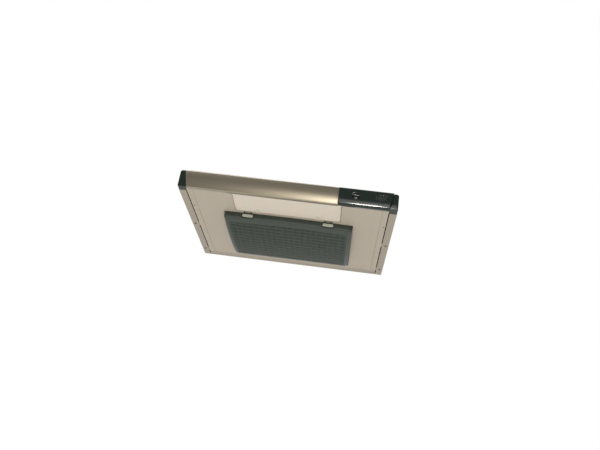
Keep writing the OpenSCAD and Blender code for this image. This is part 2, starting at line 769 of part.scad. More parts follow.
module lamp_caps() {
  x = reflector_half - holder_l;
  color("#c9c4b0") both_sides() rod_x(x - 3, x + 17, lamp_y, lamp_z, cap_rad);
}

module lamp_bulbs() {
  x = reflector_half - holder_l - 3;
  r = bulb_d / 2;
  color("#f4f1e6", 0.8) both_sides() union() {
    rod_x(x - bulb_l + r, x - 5, lamp_y, lamp_z, r);
    translate([x - bulb_l + r, lamp_y, lamp_z]) sphere(r = r);
    translate([x - 5, lamp_y, lamp_z]) rotate([0, 90, 0])
      cylinder(r1 = r, r2 = cap_rad, h = 5);
  }
}

// ---- blower -------------------------------------------------------------

// Plan of the scroll, moved in by inset; its mouth is at y_end.
module scroll_plan(inset, y_end) {
  a0 = tongue_a - 1.3 * inset;
  spiral = [for (i = [0 : 36]) let (a = a0 + (360 - a0) * i / 36) polar(scroll_r(a) - inset, a)];
  polygon(concat(spiral, [[scroll_r1 - inset, y_end - fan_y],
    [scroll_r1 - mouth_w + inset, y_end - fan_y]]));
}

module lug_at(a) translate(concat(polar(scroll_r(a) + lug_r - 1, a), [0])) children();

module scroll_housing() {
  color("#5b605d") difference() {
    translate([fan_x, fan_y, scroll_low]) union() {
      difference() {
        linear_extrude(scroll_top - scroll_low) scroll_plan(0, box_y0);
        translate([0, 0, scroll_t]) linear_extrude(scroll_top - scroll_low)
          scroll_plan(scroll_t, box_y0 + 1);
        translate([0, 0, -1]) cylinder(r = inlet_r, h = scroll_t + 2);
      }
      difference() {
        translate([0, 0, -3]) cylinder(r = inlet_r + 1.4, h = scroll_t + 5);
        translate([0, 0, -4]) cylinder(r = inlet_r, h = scroll_t + 8);
      }
      for (a = lug_as) difference() {
        lug_at(a) cylinder(r = lug_r, h = scroll_top - scroll_low);
        translate([0, 0, scroll_t]) linear_extrude(scroll_top - scroll_low)
          scroll_plan(scroll_t, box_y0 + 1);
      }
    }
    translate([fan_x, fan_y, scroll_top - 14])
      for (a = lug_as) lug_at(a) cylinder(r = panel_screw_r, h = 20);
  }
}

module scroll_cover() {
  color("#6a6f6b") translate([fan_x, fan_y, scroll_top]) difference() {
    linear_extrude(1.5) scroll_plan(-cover_over, box_y0);
    translate([0, 0, -1]) cylinder(r = cup_r - 2, h = 4);
    for (a = lug_as) translate([0, 0, -1]) lug_at(a) cylinder(r = panel_screw_r, h = 4);
  }
}

module scroll_screws() {
  color("#c9c9c4") translate([fan_x, fan_y, scroll_top]) for (a = lug_as) lug_at(a) {
    translate([0, 0, 1.5]) cylinder(r = 3, h = 1.8);
    translate([0, 0, -12]) cylinder(r = panel_screw_r, h = 13.6);
  }
}

module inlet_guard() {
  z = scroll_low - 4.2;
  color("#3c403e") translate([fan_x, fan_y, z]) union() {
    for (i = [1 : 4]) rotate_extrude() translate([inlet_r * i / 4 - 1.6, -0.8]) square(1.6);
    for (a = [0, 60, 120]) rotate([0, 0, a])
      block([-inlet_r - 12, -1.2, -1.2], [inlet_r + 12, 1.2, 0.4]);
    for (a = [0 : 60 : 300]) rotate([0, 0, a]) translate([inlet_r + 10, 0, -1.2])
      cylinder(r = 3, h = 5.4);
  }
}

module hanger_posts() {
  color("#c9c9c4") for (p = [[-75, -62], [-75, 30], [78, -55], [98, 60]])
    rod_z(scroll_top + 1.5, -sheet_t, fan_x + p[0], fan_y + p[1], 5);
}

// One forward-curved blade: a strip bent round an arc.
module blade() {
  r_in = wheel_r - blade_depth;
  linear_extrude(blade_h - 2) polygon(concat(
    [for (i = [0 : 5]) polar(r_in + (blade_depth - 0.8) * i / 5, 9 * sin(18 * i))],
    [for (i = [5 : -1 : 0]) polar(r_in + (blade_depth - 0.8) * i / 5, 9 * sin(18 * i) + 1)]));
}

module fan_wheel() {
  r_in = wheel_r - blade_depth;
  t = 1.2;
  hub_r = shaft_rad + 4;
  color("#2f3432") translate([fan_x, fan_y, 0]) union() {
    translate([0, 0, wheel_z0 + 1]) for (i = [0 : blade_n - 1])
      rotate([0, 0, 360 * i / blade_n]) blade();
    rotate_extrude() {
      translate([r_in, wheel_z0]) square([blade_depth, 1.6]);
      polygon([[wheel_r, wheel_z1], [wheel_r, wheel_z1 - 1.6], [cup_r + t, wheel_z1 - 1.6],
        [cup_r + t, cup_z - t], [shaft_rad, cup_z - t - 12], [shaft_rad, cup_z],
        [cup_r, cup_z], [cup_r, wheel_z1]]);
    }
  }
}

module motor_shaft() {
  color("#d2d4d4") rod_z(cup_z - 14, plate_z + 4, fan_x, fan_y, shaft_rad);
}

module motor_rotor() {
  color("#8d8f92") translate([fan_x, fan_y, stack_z0 + 1]) difference() {
    cylinder(r = rotor_r, h = stack_h - 2);
    translate([0, 0, -1]) cylinder(r = shaft_rad, h = stack_h);
  }
}

module motor_stator() {
  color("#777a7c") translate([fan_x, fan_y, stack_z0]) difference() {
    cylinder(r = motor_r, h = stack_h);
    translate([0, 0, -1]) cylinder(r = rotor_r + air_gap, h = stack_h + 2);
    for (a = [0 : 30 : 330]) rotate([0, 0, a]) translate([rotor_r + 6, 0, -1])
      cylinder(r = 2.6, h = stack_h + 2);
  }
}

module motor_windings() {
  color("#9c5a2c") translate([fan_x, fan_y, 0]) union() {
    for (z = [stack_z0 - coil_h, stack_z1]) translate([0, 0, z]) difference() {
      cylinder(r = motor_r - 3, h = coil_h);
      translate([0, 0, -1]) cylinder(r = rotor_r + 1.5, h = coil_h + 2);
    }
    for (a = [0 : 30 : 330]) rotate([0, 0, a]) translate([rotor_r + 6, 0, stack_z0 - 0.5])
      cylinder(r = 2.5, h = stack_h + 1);
  }
}

// A motor end bracket: a shallow cup with a bearing seat, rim upwards.
module end_bracket(h) {
  rotate_extrude() polygon([[bearing_r, 0], [motor_r, 0], [motor_r, h], [motor_r - shell_t, h],
    [motor_r - shell_t, shell_t], [bearing_r + 2, shell_t], [bearing_r + 2, bearing_h],
    [bearing_r, bearing_h]]);
}
module motor_lower_bracket() color("#a8abad")
  translate([fan_x, fan_y, bracket_z0]) end_bracket(stack_z0 - bracket_z0);
module motor_upper_bracket() color("#a8abad")
  translate([fan_x, fan_y, bracket_z1]) mirror([0, 0, 1]) end_bracket(bracket_z1 - stack_z1);

module motor_bearings() {
  color("#b08a4a") for (z = [bracket_z0, bracket_z1 - bearing_h]) difference() {
    rod_z(z, z + bearing_h, fan_x, fan_y, bearing_r);
    rod_z(z - 1, z + bearing_h + 1, fan_x, fan_y, shaft_rad + run);
  }
}

module motor_plate() {
  color("#9a9d9a") translate([fan_x, fan_y, plate_z]) difference() {
    union() {
      cylinder(r = motor_r + 2, h = 1.5);
      for (a = [30, 150, 270]) rotate([0, 0, a])
        translate([0, -9, 0]) cube([mount_r + 9, 18, 1.5]);
    }
    translate([0, 0, -1]) cylinder(r = bearing_r + 1, h = 4);
  }
}

module rubber_mounts() {
  color("#1c1c1c") for (a = [30, 150, 270]) translate([fan_x, fan_y, scroll_top + 1.5])
    translate(concat(polar(mount_r, a), [0])) cylinder(r = 6, h = plate_z - scroll_top - 1.5);
}

module outlet_box() {
  t = box_t;
  z0 = scroll_low;
  x0 = fan_x + scroll_r1 - mouth_w;
  x1 = fan_x + scroll_r1;
  color("#a9a9a2") difference() {
    block([-box_half, box_y0, z0], [box_half, box_y1, -sheet_t]);
    block([-box_half + t, box_y0 + t, z0 + t], [box_half - t, box_y1 - t, 0]);
    block([x0 + scroll_t, box_y0 - 1, scroll_low + scroll_t], [x1 - scroll_t, box_y0 + t + 1, scroll_top]);
  }
}

// ---- duct collar and damper ----------------------------------------------

module duct_collar() {
  color("#33383a") translate([0, duct_y, 0]) difference() {
    union() {
      translate([0, 0, -sheet_t]) cylinder(r = spigot_r, h = spigot_h + sheet_t, $fn = 128);
      cylinder(r = spigot_r + 4, h = 1.5, $fn = 128);
      intersection() {
        cylinder(r = spigot_r + 18, h = 1.5, $fn = 128);
        block([-spigot_r - 13, -ear_y - 8, 0], [spigot_r + 13, ear_y + 8, 1.5]);
      }
    }
    difference() {
      translate([0, 0, -5]) cylinder(r = spigot_in, h = spigot_h + 10, $fn = 128);
      translate([0, 0, ledge_z - 2]) difference() {
        cylinder(r = spigot_r, h = 2);
        translate([0, 0, -1]) cylinder(r = spigot_in - 3, h = 4);
      }
      block([-spigot_r, -1, ledge_z - 2], [spigot_r, 1, ledge_z]);
    }
    for (y = [-1, 1]) rod_x(-spigot_r + 0.4, spigot_r - 0.4, y * flap_pin_y, flap_z, flap_pin_r);
    for (x = [-1, 1], y = [-1, 1])
      rod_z(-1, 3, x * (spigot_r + 8), y * ear_y, panel_screw_r);
  }
}

module collar_screws() {
  color("#c9c9c4") translate([0, duct_y, 0]) for (x = [-1, 1], y = [-1, 1]) {
    rod_z(1.5, 3.3, x * (spigot_r + 8), y * ear_y, 3.2);
    rod_z(0, 2, x * (spigot_r + 8), y * ear_y, panel_screw_r);
  }
}

module flap_pins() {
  half = sqrt(pow(spigot_r - 0.4, 2) - pow(flap_pin_y + flap_pin_r, 2)) - 0.3;
  color("#d2d4d4") for (y = [-1, 1])
    rod_x(-half, half, duct_y + y * flap_pin_y, flap_z, flap_pin_r);
}

module flap() {
  difference() {
    union() {
      intersection() {
        translate([0, 0, flap_z - flap_t / 2]) cylinder(r = flap_r, h = flap_t, $fn = 128);
        block([-spigot_r, flap_pin_y, 0], [spigot_r, spigot_r, spigot_h]);
      }
      rod_x(-flap_barrel_half, flap_barrel_half, flap_pin_y, flap_z, flap_barrel_r);
    }
    rod_x(-spigot_r, spigot_r, flap_pin_y, flap_z, flap_pin_r + run);
  }
}
module flap_rear() color("#43494b") translate([0, duct_y, 0]) flap();
module flap_front() color("#43494b") translate([0, duct_y, 0]) mirror([0, 1, 0]) flap();

// ---- electrics ------------------------------------------------------------

module terminal_box() {
  a = terminal;
  b = terminal + terminal_s;
  color("#d8d6cc") difference() {
    block(a, b);
    block(a + [2, 2, -1], b - [2, 2, 2]);
  }
}

module terminal_cover() {
  color("#e3e1d8") block(terminal + [0, 0, -2.2], terminal + [terminal_s[0], terminal_s[1], -0.1]);
}

module capacitor() {
  color("#dfe0dc") translate(can_at) rod_x(0, can_l, 0, 0, can_r);
}

module capacitor_clip() {
  x = can_l / 2;
  color("#b9bab6") translate(can_at) difference() {
    union() {
      rod_x(x - 6, x + 6, 0, 0, can_r + 1);
      block([x - 6, -can_r - 1, 0], [x + 6, can_r + 1, can_r + 1.5]);
      block([x - 6, can_r, can_r], [x + 6, can_r + 12, can_r + 1.5]);
    }
    rod_x(x - 7, x + 7, 0, 0, can_r);
  }
}

module cable_grommet() {
  hole = cable_d / 2 + 3;
  color("#1c1c1c") translate([cable_x, cable_y, 0]) difference() {
    rotate_extrude() polygon([[cable_d / 2, -5], [hole + 2.5, -5], [hole + 2.5, -sheet_t],
      [hole, -sheet_t], [hole, 0], [hole + 2.5, 0], [hole + 1.5, 3], [cable_d / 2, 3]]);
  }
}

module wiring_loom() {
  color("#d9d7cf") union() {
    tube(motor_lead, loom_r, 8);
    tube(switch_lead, loom_r, 8);
  }
}

canopy_sheet();
side_panel_left();
side_panel_right();
fascia();
end_cap_left();
end_cap_right();
control_panel();
switch_bracket();
speed_switch();
switch_nut();
knob_shaft();
speed_knob();
light_switch();
light_rocker();
bottom_panel();
panel_screws();
panel_rivets();
hinge_brackets();
filter_tray();
grease_mat();
mat_wires();
latch_left();
latch_right();
latch_spring_left();
latch_spring_right();
latch_keepers();
lens_brackets();
lamp_lens();
lamp_reflector();
lamp_holders();
lamp_caps();
lamp_bulbs();
scroll_housing();
scroll_cover();
scroll_screws();
inlet_guard();
hanger_posts();
fan_wheel();
motor_shaft();
motor_rotor();
motor_stator();
motor_windings();
motor_lower_bracket();
motor_upper_bracket();
motor_bearings();
motor_plate();
rubber_mounts();
outlet_box();
duct_collar();
collar_screws();
flap_pins();
flap_front();
flap_rear();
terminal_box();
terminal_cover();
capacitor();
capacitor_clip();
cable_grommet();
wiring_loom();
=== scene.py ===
# %% [markdown]
# # Dressing a measured range hood
# An under-cabinet hood is a shallow steel box. It has a bowed metal fascia, black plastic end
# caps, a control panel, and a hinged plastic tray that holds the grease mat. A measured model
# gives every size here. The lesson keeps those sizes and gives each visible piece its real
# surface: enamel, brushed lacquer, moulded plastic, zinc and wire. The model comes first,
# because every other step takes its positions from it.

# %% Load the measured model
import json
import math

import bmesh
import bpy
import numpy as np
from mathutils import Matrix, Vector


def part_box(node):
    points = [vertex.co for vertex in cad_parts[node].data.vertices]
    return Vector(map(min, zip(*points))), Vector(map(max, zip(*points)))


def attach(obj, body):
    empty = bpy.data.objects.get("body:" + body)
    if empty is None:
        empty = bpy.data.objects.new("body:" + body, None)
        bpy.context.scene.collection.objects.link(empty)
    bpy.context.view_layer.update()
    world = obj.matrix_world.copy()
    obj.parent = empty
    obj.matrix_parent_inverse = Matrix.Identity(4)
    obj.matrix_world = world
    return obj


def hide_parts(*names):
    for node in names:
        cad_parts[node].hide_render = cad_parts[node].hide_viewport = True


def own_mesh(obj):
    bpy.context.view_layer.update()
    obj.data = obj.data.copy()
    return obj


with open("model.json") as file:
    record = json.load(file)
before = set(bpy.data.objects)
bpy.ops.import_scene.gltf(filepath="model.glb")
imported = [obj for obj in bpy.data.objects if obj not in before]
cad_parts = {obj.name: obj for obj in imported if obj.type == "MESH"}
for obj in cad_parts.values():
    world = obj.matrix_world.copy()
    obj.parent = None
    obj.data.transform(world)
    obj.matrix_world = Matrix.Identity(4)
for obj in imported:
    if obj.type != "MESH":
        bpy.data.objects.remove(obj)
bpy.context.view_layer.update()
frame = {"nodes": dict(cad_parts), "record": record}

MM = 0.001
slot_of = {part["node"]: part["material_slot"] for part in frame["record"]["subparts"]}

# %% [markdown]
# ## The camera
# A hood is usually seen from below, by someone who stands in front of the cooker. The camera
# could be aimed with a constraint, but three fixed angles are easier to read and to repeat.
# The small roll makes the long fascia run downhill to the right.

# %% Place the camera
CAMERA_PLACE = (0.1811, -1.8789, -0.8993)
CAMERA_ANGLES = (114.475, -8.079, 1.273)
LENS_MM = 38.63
SENSOR_MM = 36.0

lens = bpy.data.cameras.new("camera")
lens.lens, lens.sensor_width = LENS_MM, SENSOR_MM
camera = bpy.data.objects.new("camera", lens)
camera.location = CAMERA_PLACE
camera.rotation_euler = [math.radians(angle) for angle in CAMERA_ANGLES]
bpy.context.scene.collection.objects.link(camera)
bpy.context.scene.camera = camera
print("camera at", CAMERA_PLACE)

# %% [markdown]
# ## Light and floor
# Studio pictures of kitchen goods use one bright surround, with a few soft boxes where the
# glossy parts need a reflection. A white world gives the surround, dimmer in front so that
# metal keeps its contrast. Each soft box is an area light. Three in front draw the long
# highlight on the fascia and the bright line along the panel's lower edge. One high up shapes
# the top. One shines up from under the floor, which casts no shadow, and fills the underside.
# The plain pale floor lies far below, because a hood hangs on the wall.

# %% Build the studio
FRONT_DIM, BACK_BRIGHT = 0.22, 0.95
FADE_START, FADE_END = -0.45, 0.30
FLOOR_Z = -1.5
WARM = (1.0, 0.97, 0.92)
FLOOR_HALF = 6.0


def soft_box(name, place, aim, size, power, tint=(1.0, 1.0, 1.0)):
    """An area light: size is its two sides in metres, and it faces the point aim."""
    light = bpy.data.lights.new(name, "AREA")
    light.shape = "RECTANGLE"
    light.size, light.size_y = size
    light.energy, light.color = power, tint
    box = bpy.data.objects.new(name, light)
    box.location = place
    line = np.array(aim) - np.array(place)
    flat = math.hypot(line[0], line[1])
    box.rotation_euler = (math.atan2(flat, -line[2]), 0.0, math.atan2(-line[0], line[1]))
    bpy.context.scene.collection.objects.link(box)


world = bpy.data.worlds.new("studio")
world.use_nodes = True
sky = world.node_tree
spread = sky.nodes.new("ShaderNodeTexCoord")
split = sky.nodes.new("ShaderNodeSeparateXYZ")
fade = sky.nodes.new("ShaderNodeMapRange")
fade.interpolation_type = "SMOOTHSTEP"
rays = sky.nodes.new("ShaderNodeLightPath")
shown = sky.nodes.new("ShaderNodeMath")
shown.operation = "MAXIMUM"
sky.links.new(spread.outputs["Generated"], split.inputs[0])
sky.links.new(split.outputs["Y"], fade.inputs["Value"])
for entry, value in ((1, FADE_START), (2, FADE_END), (3, FRONT_DIM), (4, BACK_BRIGHT)):
    fade.inputs[entry].default_value = value
sky.links.new(fade.outputs[0], shown.inputs[0])
sky.links.new(rays.outputs["Is Camera Ray"], shown.inputs[1])
sky.links.new(shown.outputs[0], sky.nodes["Background"].inputs["Strength"])
sky.nodes["Background"].inputs["Color"].default_value = (1.0, 1.0, 1.0, 1.0)
bpy.context.scene.world = world
bpy.context.scene.view_settings.view_transform = "Standard"

soft_box("key_box", (0.27, -2.8, 0.19), (0.2, -0.3, -0.1), (0.20, 0.13), 9.0, WARM)
soft_box("side_box", (-0.11, -2.8, 0.40), (0.0, -0.3, -0.1), (0.24, 0.9), 1.7, WARM)
soft_box("halo_box", (0.42, -2.85, 0.0), (0.2, -0.3, -0.1), (0.9, 1.3), 5.5, WARM)
soft_box("under_box", (0.1, -1.7, -2.4), (0.0, -0.1, -0.1), (2.0, 1.6), 28.0)
soft_box("top_box", (-0.8, -0.6, 2.2), (0.0, -0.1, 0.0), (1.4, 1.4), 26.0)

floor_mesh = bpy.data.meshes.new("floor")
corners = [(x * FLOOR_HALF, y * FLOOR_HALF, FLOOR_Z)
           for x, y in ((-1, -1), (1, -1), (1, 1), (-1, 1))]
floor_mesh.from_pydata(corners, [], [(0, 1, 2, 3)])
floor = bpy.data.objects.new("floor", floor_mesh)
bpy.context.scene.collection.objects.link(floor)
floor.visible_shadow = False
print("floor at", FLOOR_Z, "m")

# %% [markdown]
# ## Shader maths as Python
# A finish is a small sum of patterns: fine grain, broad smudges, streaks. Blender wants one
# node for each step of such a sum, and long node lists are hard to read. One small class
# wraps a node's output and overloads the operators, so `0.4 + 0.1 * noise` builds the nodes
# itself. A second class holds one material and adds every other kind of node.

# %% Wrap sockets and materials
finishes = {}


class Field:
    """A value that varies over a surface. Each operator adds one Math node."""

    def __init__(self, tree, socket):
        self.tree, self.socket = tree, socket

    def math(self, operation, *values):
        node = self.tree.nodes.new("ShaderNodeMath")
        node.operation = operation
        for entry, value in zip(node.inputs, values):
            if isinstance(value, Field):
                self.tree.links.new(value.socket, entry)
            else:
                entry.default_value = value
        return Field(self.tree, node.outputs[0])

    def __add__(self, other): return self.math("ADD", self, other)
    def __radd__(self, other): return self.math("ADD", other, self)
    def __sub__(self, other): return self.math("SUBTRACT", self, other)
    def __rsub__(self, other): return self.math("SUBTRACT", other, self)
    def __mul__(self, other): return self.math("MULTIPLY", self, other)
    def __rmul__(self, other): return self.math("MULTIPLY", other, self)
    def __abs__(self): return self.math("ABSOLUTE", self)
    def above(self, level): return self.math("GREATER_THAN", self, level)
    def wave(self): return self.math("SINE", self)
    def high(self, other): return self.math("MAXIMUM", self, other)


class Finish:
    """One material: a Principled shader, and short calls for the nodes behind it."""

    def __init__(self, name, **constants):
        self.material = bpy.data.materials.new(name)
        self.material.use_nodes = True
        self.tree = self.material.node_tree
        self.shader = self.tree.nodes["Principled BSDF"]
        self.place = self.node("ShaderNodeTexCoord", output="Object")
        self.feed(**constants)
        finishes[name] = self

    def put(self, entry, value):
        """Link a Field, or set a plain value, on one input socket."""
        if isinstance(value, Field):
            self.tree.links.new(value.socket, entry)
        else:
            entry.default_value = value

    def node(self, kind, settings=None, sockets=None, output=0):
        """Add any node: its settings first, then its sockets, and wrap one output."""
        node = self.tree.nodes.new(kind)
        for name, value in (settings or {}).items():
            setattr(node, name, value)
        for name, value in (sockets or {}).items():
            self.put(node.inputs[name], value)
        return Field(self.tree, node.outputs[output])

    def feed(self, **values):
        """Set the shader's own sockets, named like base_color or coat_weight."""
        for name, value in values.items():
            title = name.replace("_", " ").title().replace("Ior", "IOR")
            self.put(self.shader.inputs[title], value)

    def stretched(self, scale):
        """Object coordinates in metres, multiplied by scale along x, y and z."""
        return self.node("ShaderNodeVectorMath", {"operation": "MULTIPLY"},
                         {0: self.place, 1: scale})

    def noise(self, scale, detail=2.0, rough=0.5, along=(1.0, 1.0, 1.0)):
        """Noise from 0 to 1 with `scale` blobs in a metre, stretched by along."""
        return self.node("ShaderNodeTexNoise", None,
                         {"Vector": self.stretched(tuple(scale * a for a in along)),
                          "Scale": 1.0, "Detail": detail, "Roughness": rough})

    def cells(self, scale, output="Distance"):
        """Voronoi cells, `scale` in a metre: the distance to a centre, or a random colour."""
        return self.node("ShaderNodeTexVoronoi", None,
                         {"Vector": self.stretched((scale, scale, scale)), "Scale": 1.0},
                         output)

    def axis(self, name):
        """One coordinate of the surface point, in metres."""
        return self.node("ShaderNodeSeparateXYZ", None, {0: self.place}, name)

    def ramp(self, value, low, high):
        """0 below low, 1 above high, and smooth between them."""
        return self.node("ShaderNodeMapRange", {"interpolation_type": "SMOOTHSTEP"},
                         {0: value, 1: low, 2: high})

    def band(self, value, low, high, soft):
        """1 where value lies between low and high, fading over soft at both ends."""
        rise = self.ramp(value, low - soft, low + soft)
        return rise * (1.0 - self.ramp(value, high - soft, high + soft))

    def mix(self, factor, first, second):
        """Blend two colours; factor 0 gives the first."""
        return self.node("ShaderNodeMix", {"data_type": "RGBA"},
                         {0: factor, 6: first, 7: second}, 2)

    def dress(self, colour, roughness, height, depth):
        """Feed the colour and the roughness, and a bump whose relief is depth metres
        between heights 0 and 1."""
        bump = self.node("ShaderNodeBump", None, {"Height": height, "Distance": depth})
        self.feed(base_color=colour, roughness=roughness, normal=bump)

    def tinted(self, tone, colour, low, high):
        """The colour times low where tone is 0, and times high where tone is 1."""
        return self.mix(tone, shade(colour, low), shade(colour, high))


def paint(red, green, blue):
    """A linear colour from screen values of 0 to 255, with the screen curve undone."""
    screen = np.array([red, green, blue]) / 255.0
    linear = np.where(screen > 0.04045, ((screen + 0.055) / 1.055) ** 2.4, screen / 12.92)
    return tuple(float(v) for v in linear) + (1.0,)


def shade(colour, factor):
    """The same colour made lighter or darker."""
    return tuple(channel * factor for channel in colour[:3]) + (1.0,)


print("shader helpers ready")

# %% [markdown]
# ## Enamel, lacquer and gloss
# The canopy is sprayed with satin enamel, which dries with a faint orange peel and is never
# quite one colour. The fascia has a metallic lacquer over brushing that runs along it. The end
# caps and the control panel are glossy mouldings. All three are the same idea with other
# numbers: a colour with drift, a roughness with wipe marks, and a fine relief.

# %% Make the coated finishes
FLOOR_GREY = paint(236, 235, 232)
DUST_PALE = paint(190, 190, 182)
RAIL_STARTS, REAR_STARTS = (0.2772, 0.2776), (0.117, 0.121)
BEAD_SPAN, BEAD_FADE, UNDERSIDE = (0.2592, 0.2634), 0.0005, (-0.1292, -0.1284)
DUST_LEVEL = 0.71


def enamel(name, colour, gloss, peel=12e-6, rim_shade=0.0):
    """Sprayed paint: broad drift and fine specks in the colour, wipe marks in the gloss.
    rim_shade paints shade on the rails, the rear band and the beads of the underside, darkening
    them towards half the colour."""
    finish = Finish(name, coat_roughness=0.2, specular_ior_level=0.45)
    drift = finish.noise(5.0, 3.0)
    speck = finish.noise(1900.0, 1.0)
    wipe = finish.noise(14.0, 4.0, 0.6, (1.0, 3.0, 3.0))
    tone = 0.62 * drift + 0.38 * speck
    fresh = finish.tinted(tone, colour, 0.93, 1.07)
    if rim_shade:
        rail = finish.ramp(abs(finish.axis("X")), *RAIL_STARTS)
        rear = finish.ramp(finish.axis("Y"), *REAR_STARTS)
        under = 1.0 - finish.ramp(finish.axis("Z"), *UNDERSIDE)
        bead = finish.band(abs(finish.axis("X")), *BEAD_SPAN, BEAD_FADE)
        # painted shade: the rails, the rear band and the beads of the underside are darkened
        painted_shade = under * rail.high(rear).high(0.6 * bead)
        fresh = finish.mix(rim_shade * painted_shade, fresh, shade(colour, 0.5))
    finish.dress(fresh, gloss + 0.16 * wipe, finish.noise(620.0, 2.0) + 0.35 * speck, peel)


def lacquer(name, colour, gloss, metal):
    """Metallic lacquer: streaks along x in the colour and the gloss, under a thin clear coat."""
    finish = Finish(name, metallic=metal, coat_weight=0.25, coat_roughness=0.12)
    streak = finish.noise(1.0, 4.0, 0.65, (7.0, 1500.0, 1500.0))
    drift = finish.noise(3.0, 2.0, 0.5, (1.0, 4.0, 4.0))
    wipe = finish.noise(26.0, 4.0, 0.6, (0.6, 2.0, 2.0))
    tone = 0.55 * streak + 0.45 * drift
    finish.dress(finish.tinted(tone, colour, 0.84, 1.16),
                 gloss + 0.10 * streak + 0.07 * wipe, streak, 22e-6)


def gloss_moulding(name, colour, gloss, haze=0.1):
    """Glossy plastic: rub marks in the gloss, pale dust specks, and slow sink waves."""
    finish = Finish(name, specular_ior_level=0.5)
    rub = finish.noise(45.0, 5.0, 0.65, (0.7, 1.6, 1.6))
    dust = finish.noise(2600.0, 2.0).above(DUST_LEVEL)
    sink = finish.noise(26.0, 1.0)
    dusty = finish.mix(0.10 * dust, finish.tinted(rub, colour, 0.85, 1.2), DUST_PALE)
    finish.dress(dusty, gloss + haze * rub + 0.12 * dust,
                 sink + 0.03 * finish.noise(900.0, 2.0), 25e-6)


def grained(name, colour, gloss, grain=700.0, depth=30e-6, dust=0.12):
    """Spark-eroded plastic: cells of fine grain, greasy patches, and dust in the low spots."""
    finish = Finish(name, specular_ior_level=0.42)
    cell = finish.cells(grain)
    patch = finish.noise(16.0, 4.0, 0.6)
    fine = finish.noise(grain * 2.2, 2.0)
    base = finish.tinted(patch, colour, 0.88, 1.12)
    finish.dress(finish.mix(dust * (1.0 - cell), base, shade(colour, 1.7)),
                 gloss + 0.14 * patch + 0.06 * fine, 0.8 * cell + 0.2 * fine, depth)


enamel("canopy_paint", paint(178, 167, 150), 0.30, rim_shade=0.42)
enamel("reflector_white", paint(226, 225, 218), 0.14, 8e-6)
lacquer("fascia_metal", paint(158, 149, 130), 0.23, 0.85)
gloss_moulding("black_moulding", paint(30, 41, 35), 0.05, 0.06)
gloss_moulding("knob_plastic", paint(20, 26, 23), 0.12)
gloss_moulding("capacitor_plastic", paint(214, 215, 208), 0.22)
grained("rocker_plastic", paint(38, 46, 42), 0.30, 1200.0, 14e-6)
grained("switch_body", paint(44, 47, 48), 0.38)
grained("tray_plastic", paint(54, 62, 54), 0.34, 900.0, 22e-6)
grained("latch_plastic", paint(184, 186, 170), 0.34, 1100.0, 12e-6, 0.05)
grained("scroll_plastic", paint(92, 97, 92), 0.36)
grained("wheel_plastic", paint(50, 55, 53), 0.36)
grained("collar_plastic", paint(52, 57, 58), 0.34)
grained("terminal_plastic", paint(214, 212, 202), 0.36, 900.0, 16e-6, 0.04)
print(len(finishes), "coated and moulded finishes")

# %% [markdown]
# ## Bare metals and small stuffs
# Inside the hood, zinc shows its crystals, turned steel its tool rings, laminations their
# stack, and windings their wire. Each has one pattern that tells the eye what it is. The
# patterns read the point's place in metres, so they keep their true scale on every piece.

# %% Make the metals and the rest
def zinc(name, colour):
    """Galvanised sheet: crystals of several millimetres, each with its own brightness."""
    finish = Finish(name, metallic=0.85)
    crystal = finish.node("ShaderNodeSeparateXYZ", None,
                          {0: finish.cells(150.0, "Color")}, "X")
    cloud = finish.noise(30.0, 4.0)
    finish.dress(finish.tinted(0.7 * crystal + 0.3 * cloud, colour, 0.72, 1.15),
                 0.32 + 0.2 * crystal + 0.1 * cloud, crystal, 6e-6)


def steel(name, colour, gloss, along=(900.0, 900.0, 900.0), metal=1.0):
    """Drawn, rolled or turned metal: fine marks stretched by along, and darker handling spots."""
    finish = Finish(name, metallic=metal)
    mark = finish.noise(1.0, 3.0, 0.6, along)
    spot = finish.noise(120.0, 3.0)
    finish.dress(finish.tinted(0.6 * mark + 0.4 * spot, colour, 0.75, 1.15),
                 gloss + 0.12 * mark + 0.08 * spot, mark, 8e-6)


def layered(name, colour, dark, pitch, metal, gloss, axis="Z"):
    """Stacked sheets or wound wire: a sine ridge every pitch metres along one axis."""
    finish = Finish(name, metallic=metal)
    ridge = 0.5 + 0.5 * (finish.axis(axis) * (2.0 * math.pi / pitch)).wave()
    stain = finish.noise(90.0, 3.0)
    finish.dress(finish.mix(0.75 * ridge + 0.25 * stain, dark, colour),
                 gloss + 0.2 * stain, ridge, 0.2 * pitch)


def lens_stuff(name, colour):
    """Opal plastic: warm drift, a cloudy inside, and fine dust on a soft gloss."""
    finish = Finish(name, subsurface_weight=0.25, subsurface_scale=0.004)
    cloud = finish.noise(12.0, 3.0)
    speck = finish.noise(1500.0, 2.0)
    finish.dress(finish.tinted(0.7 * cloud + 0.3 * speck, colour, 0.94, 1.05),
                 0.26 + 0.12 * speck + 0.08 * cloud, speck, 6e-6)


def frosted_glass(name, colour):
    """A lamp bulb: pearl white glass with a faint cloud in its gloss."""
    finish = Finish(name, transmission_weight=0.35, coat_weight=0.6, coat_roughness=0.05)
    cloud = finish.noise(60.0, 2.0)
    finish.dress(finish.tinted(cloud, colour, 0.97, 1.0), 0.24 + 0.08 * cloud, cloud, 5e-6)


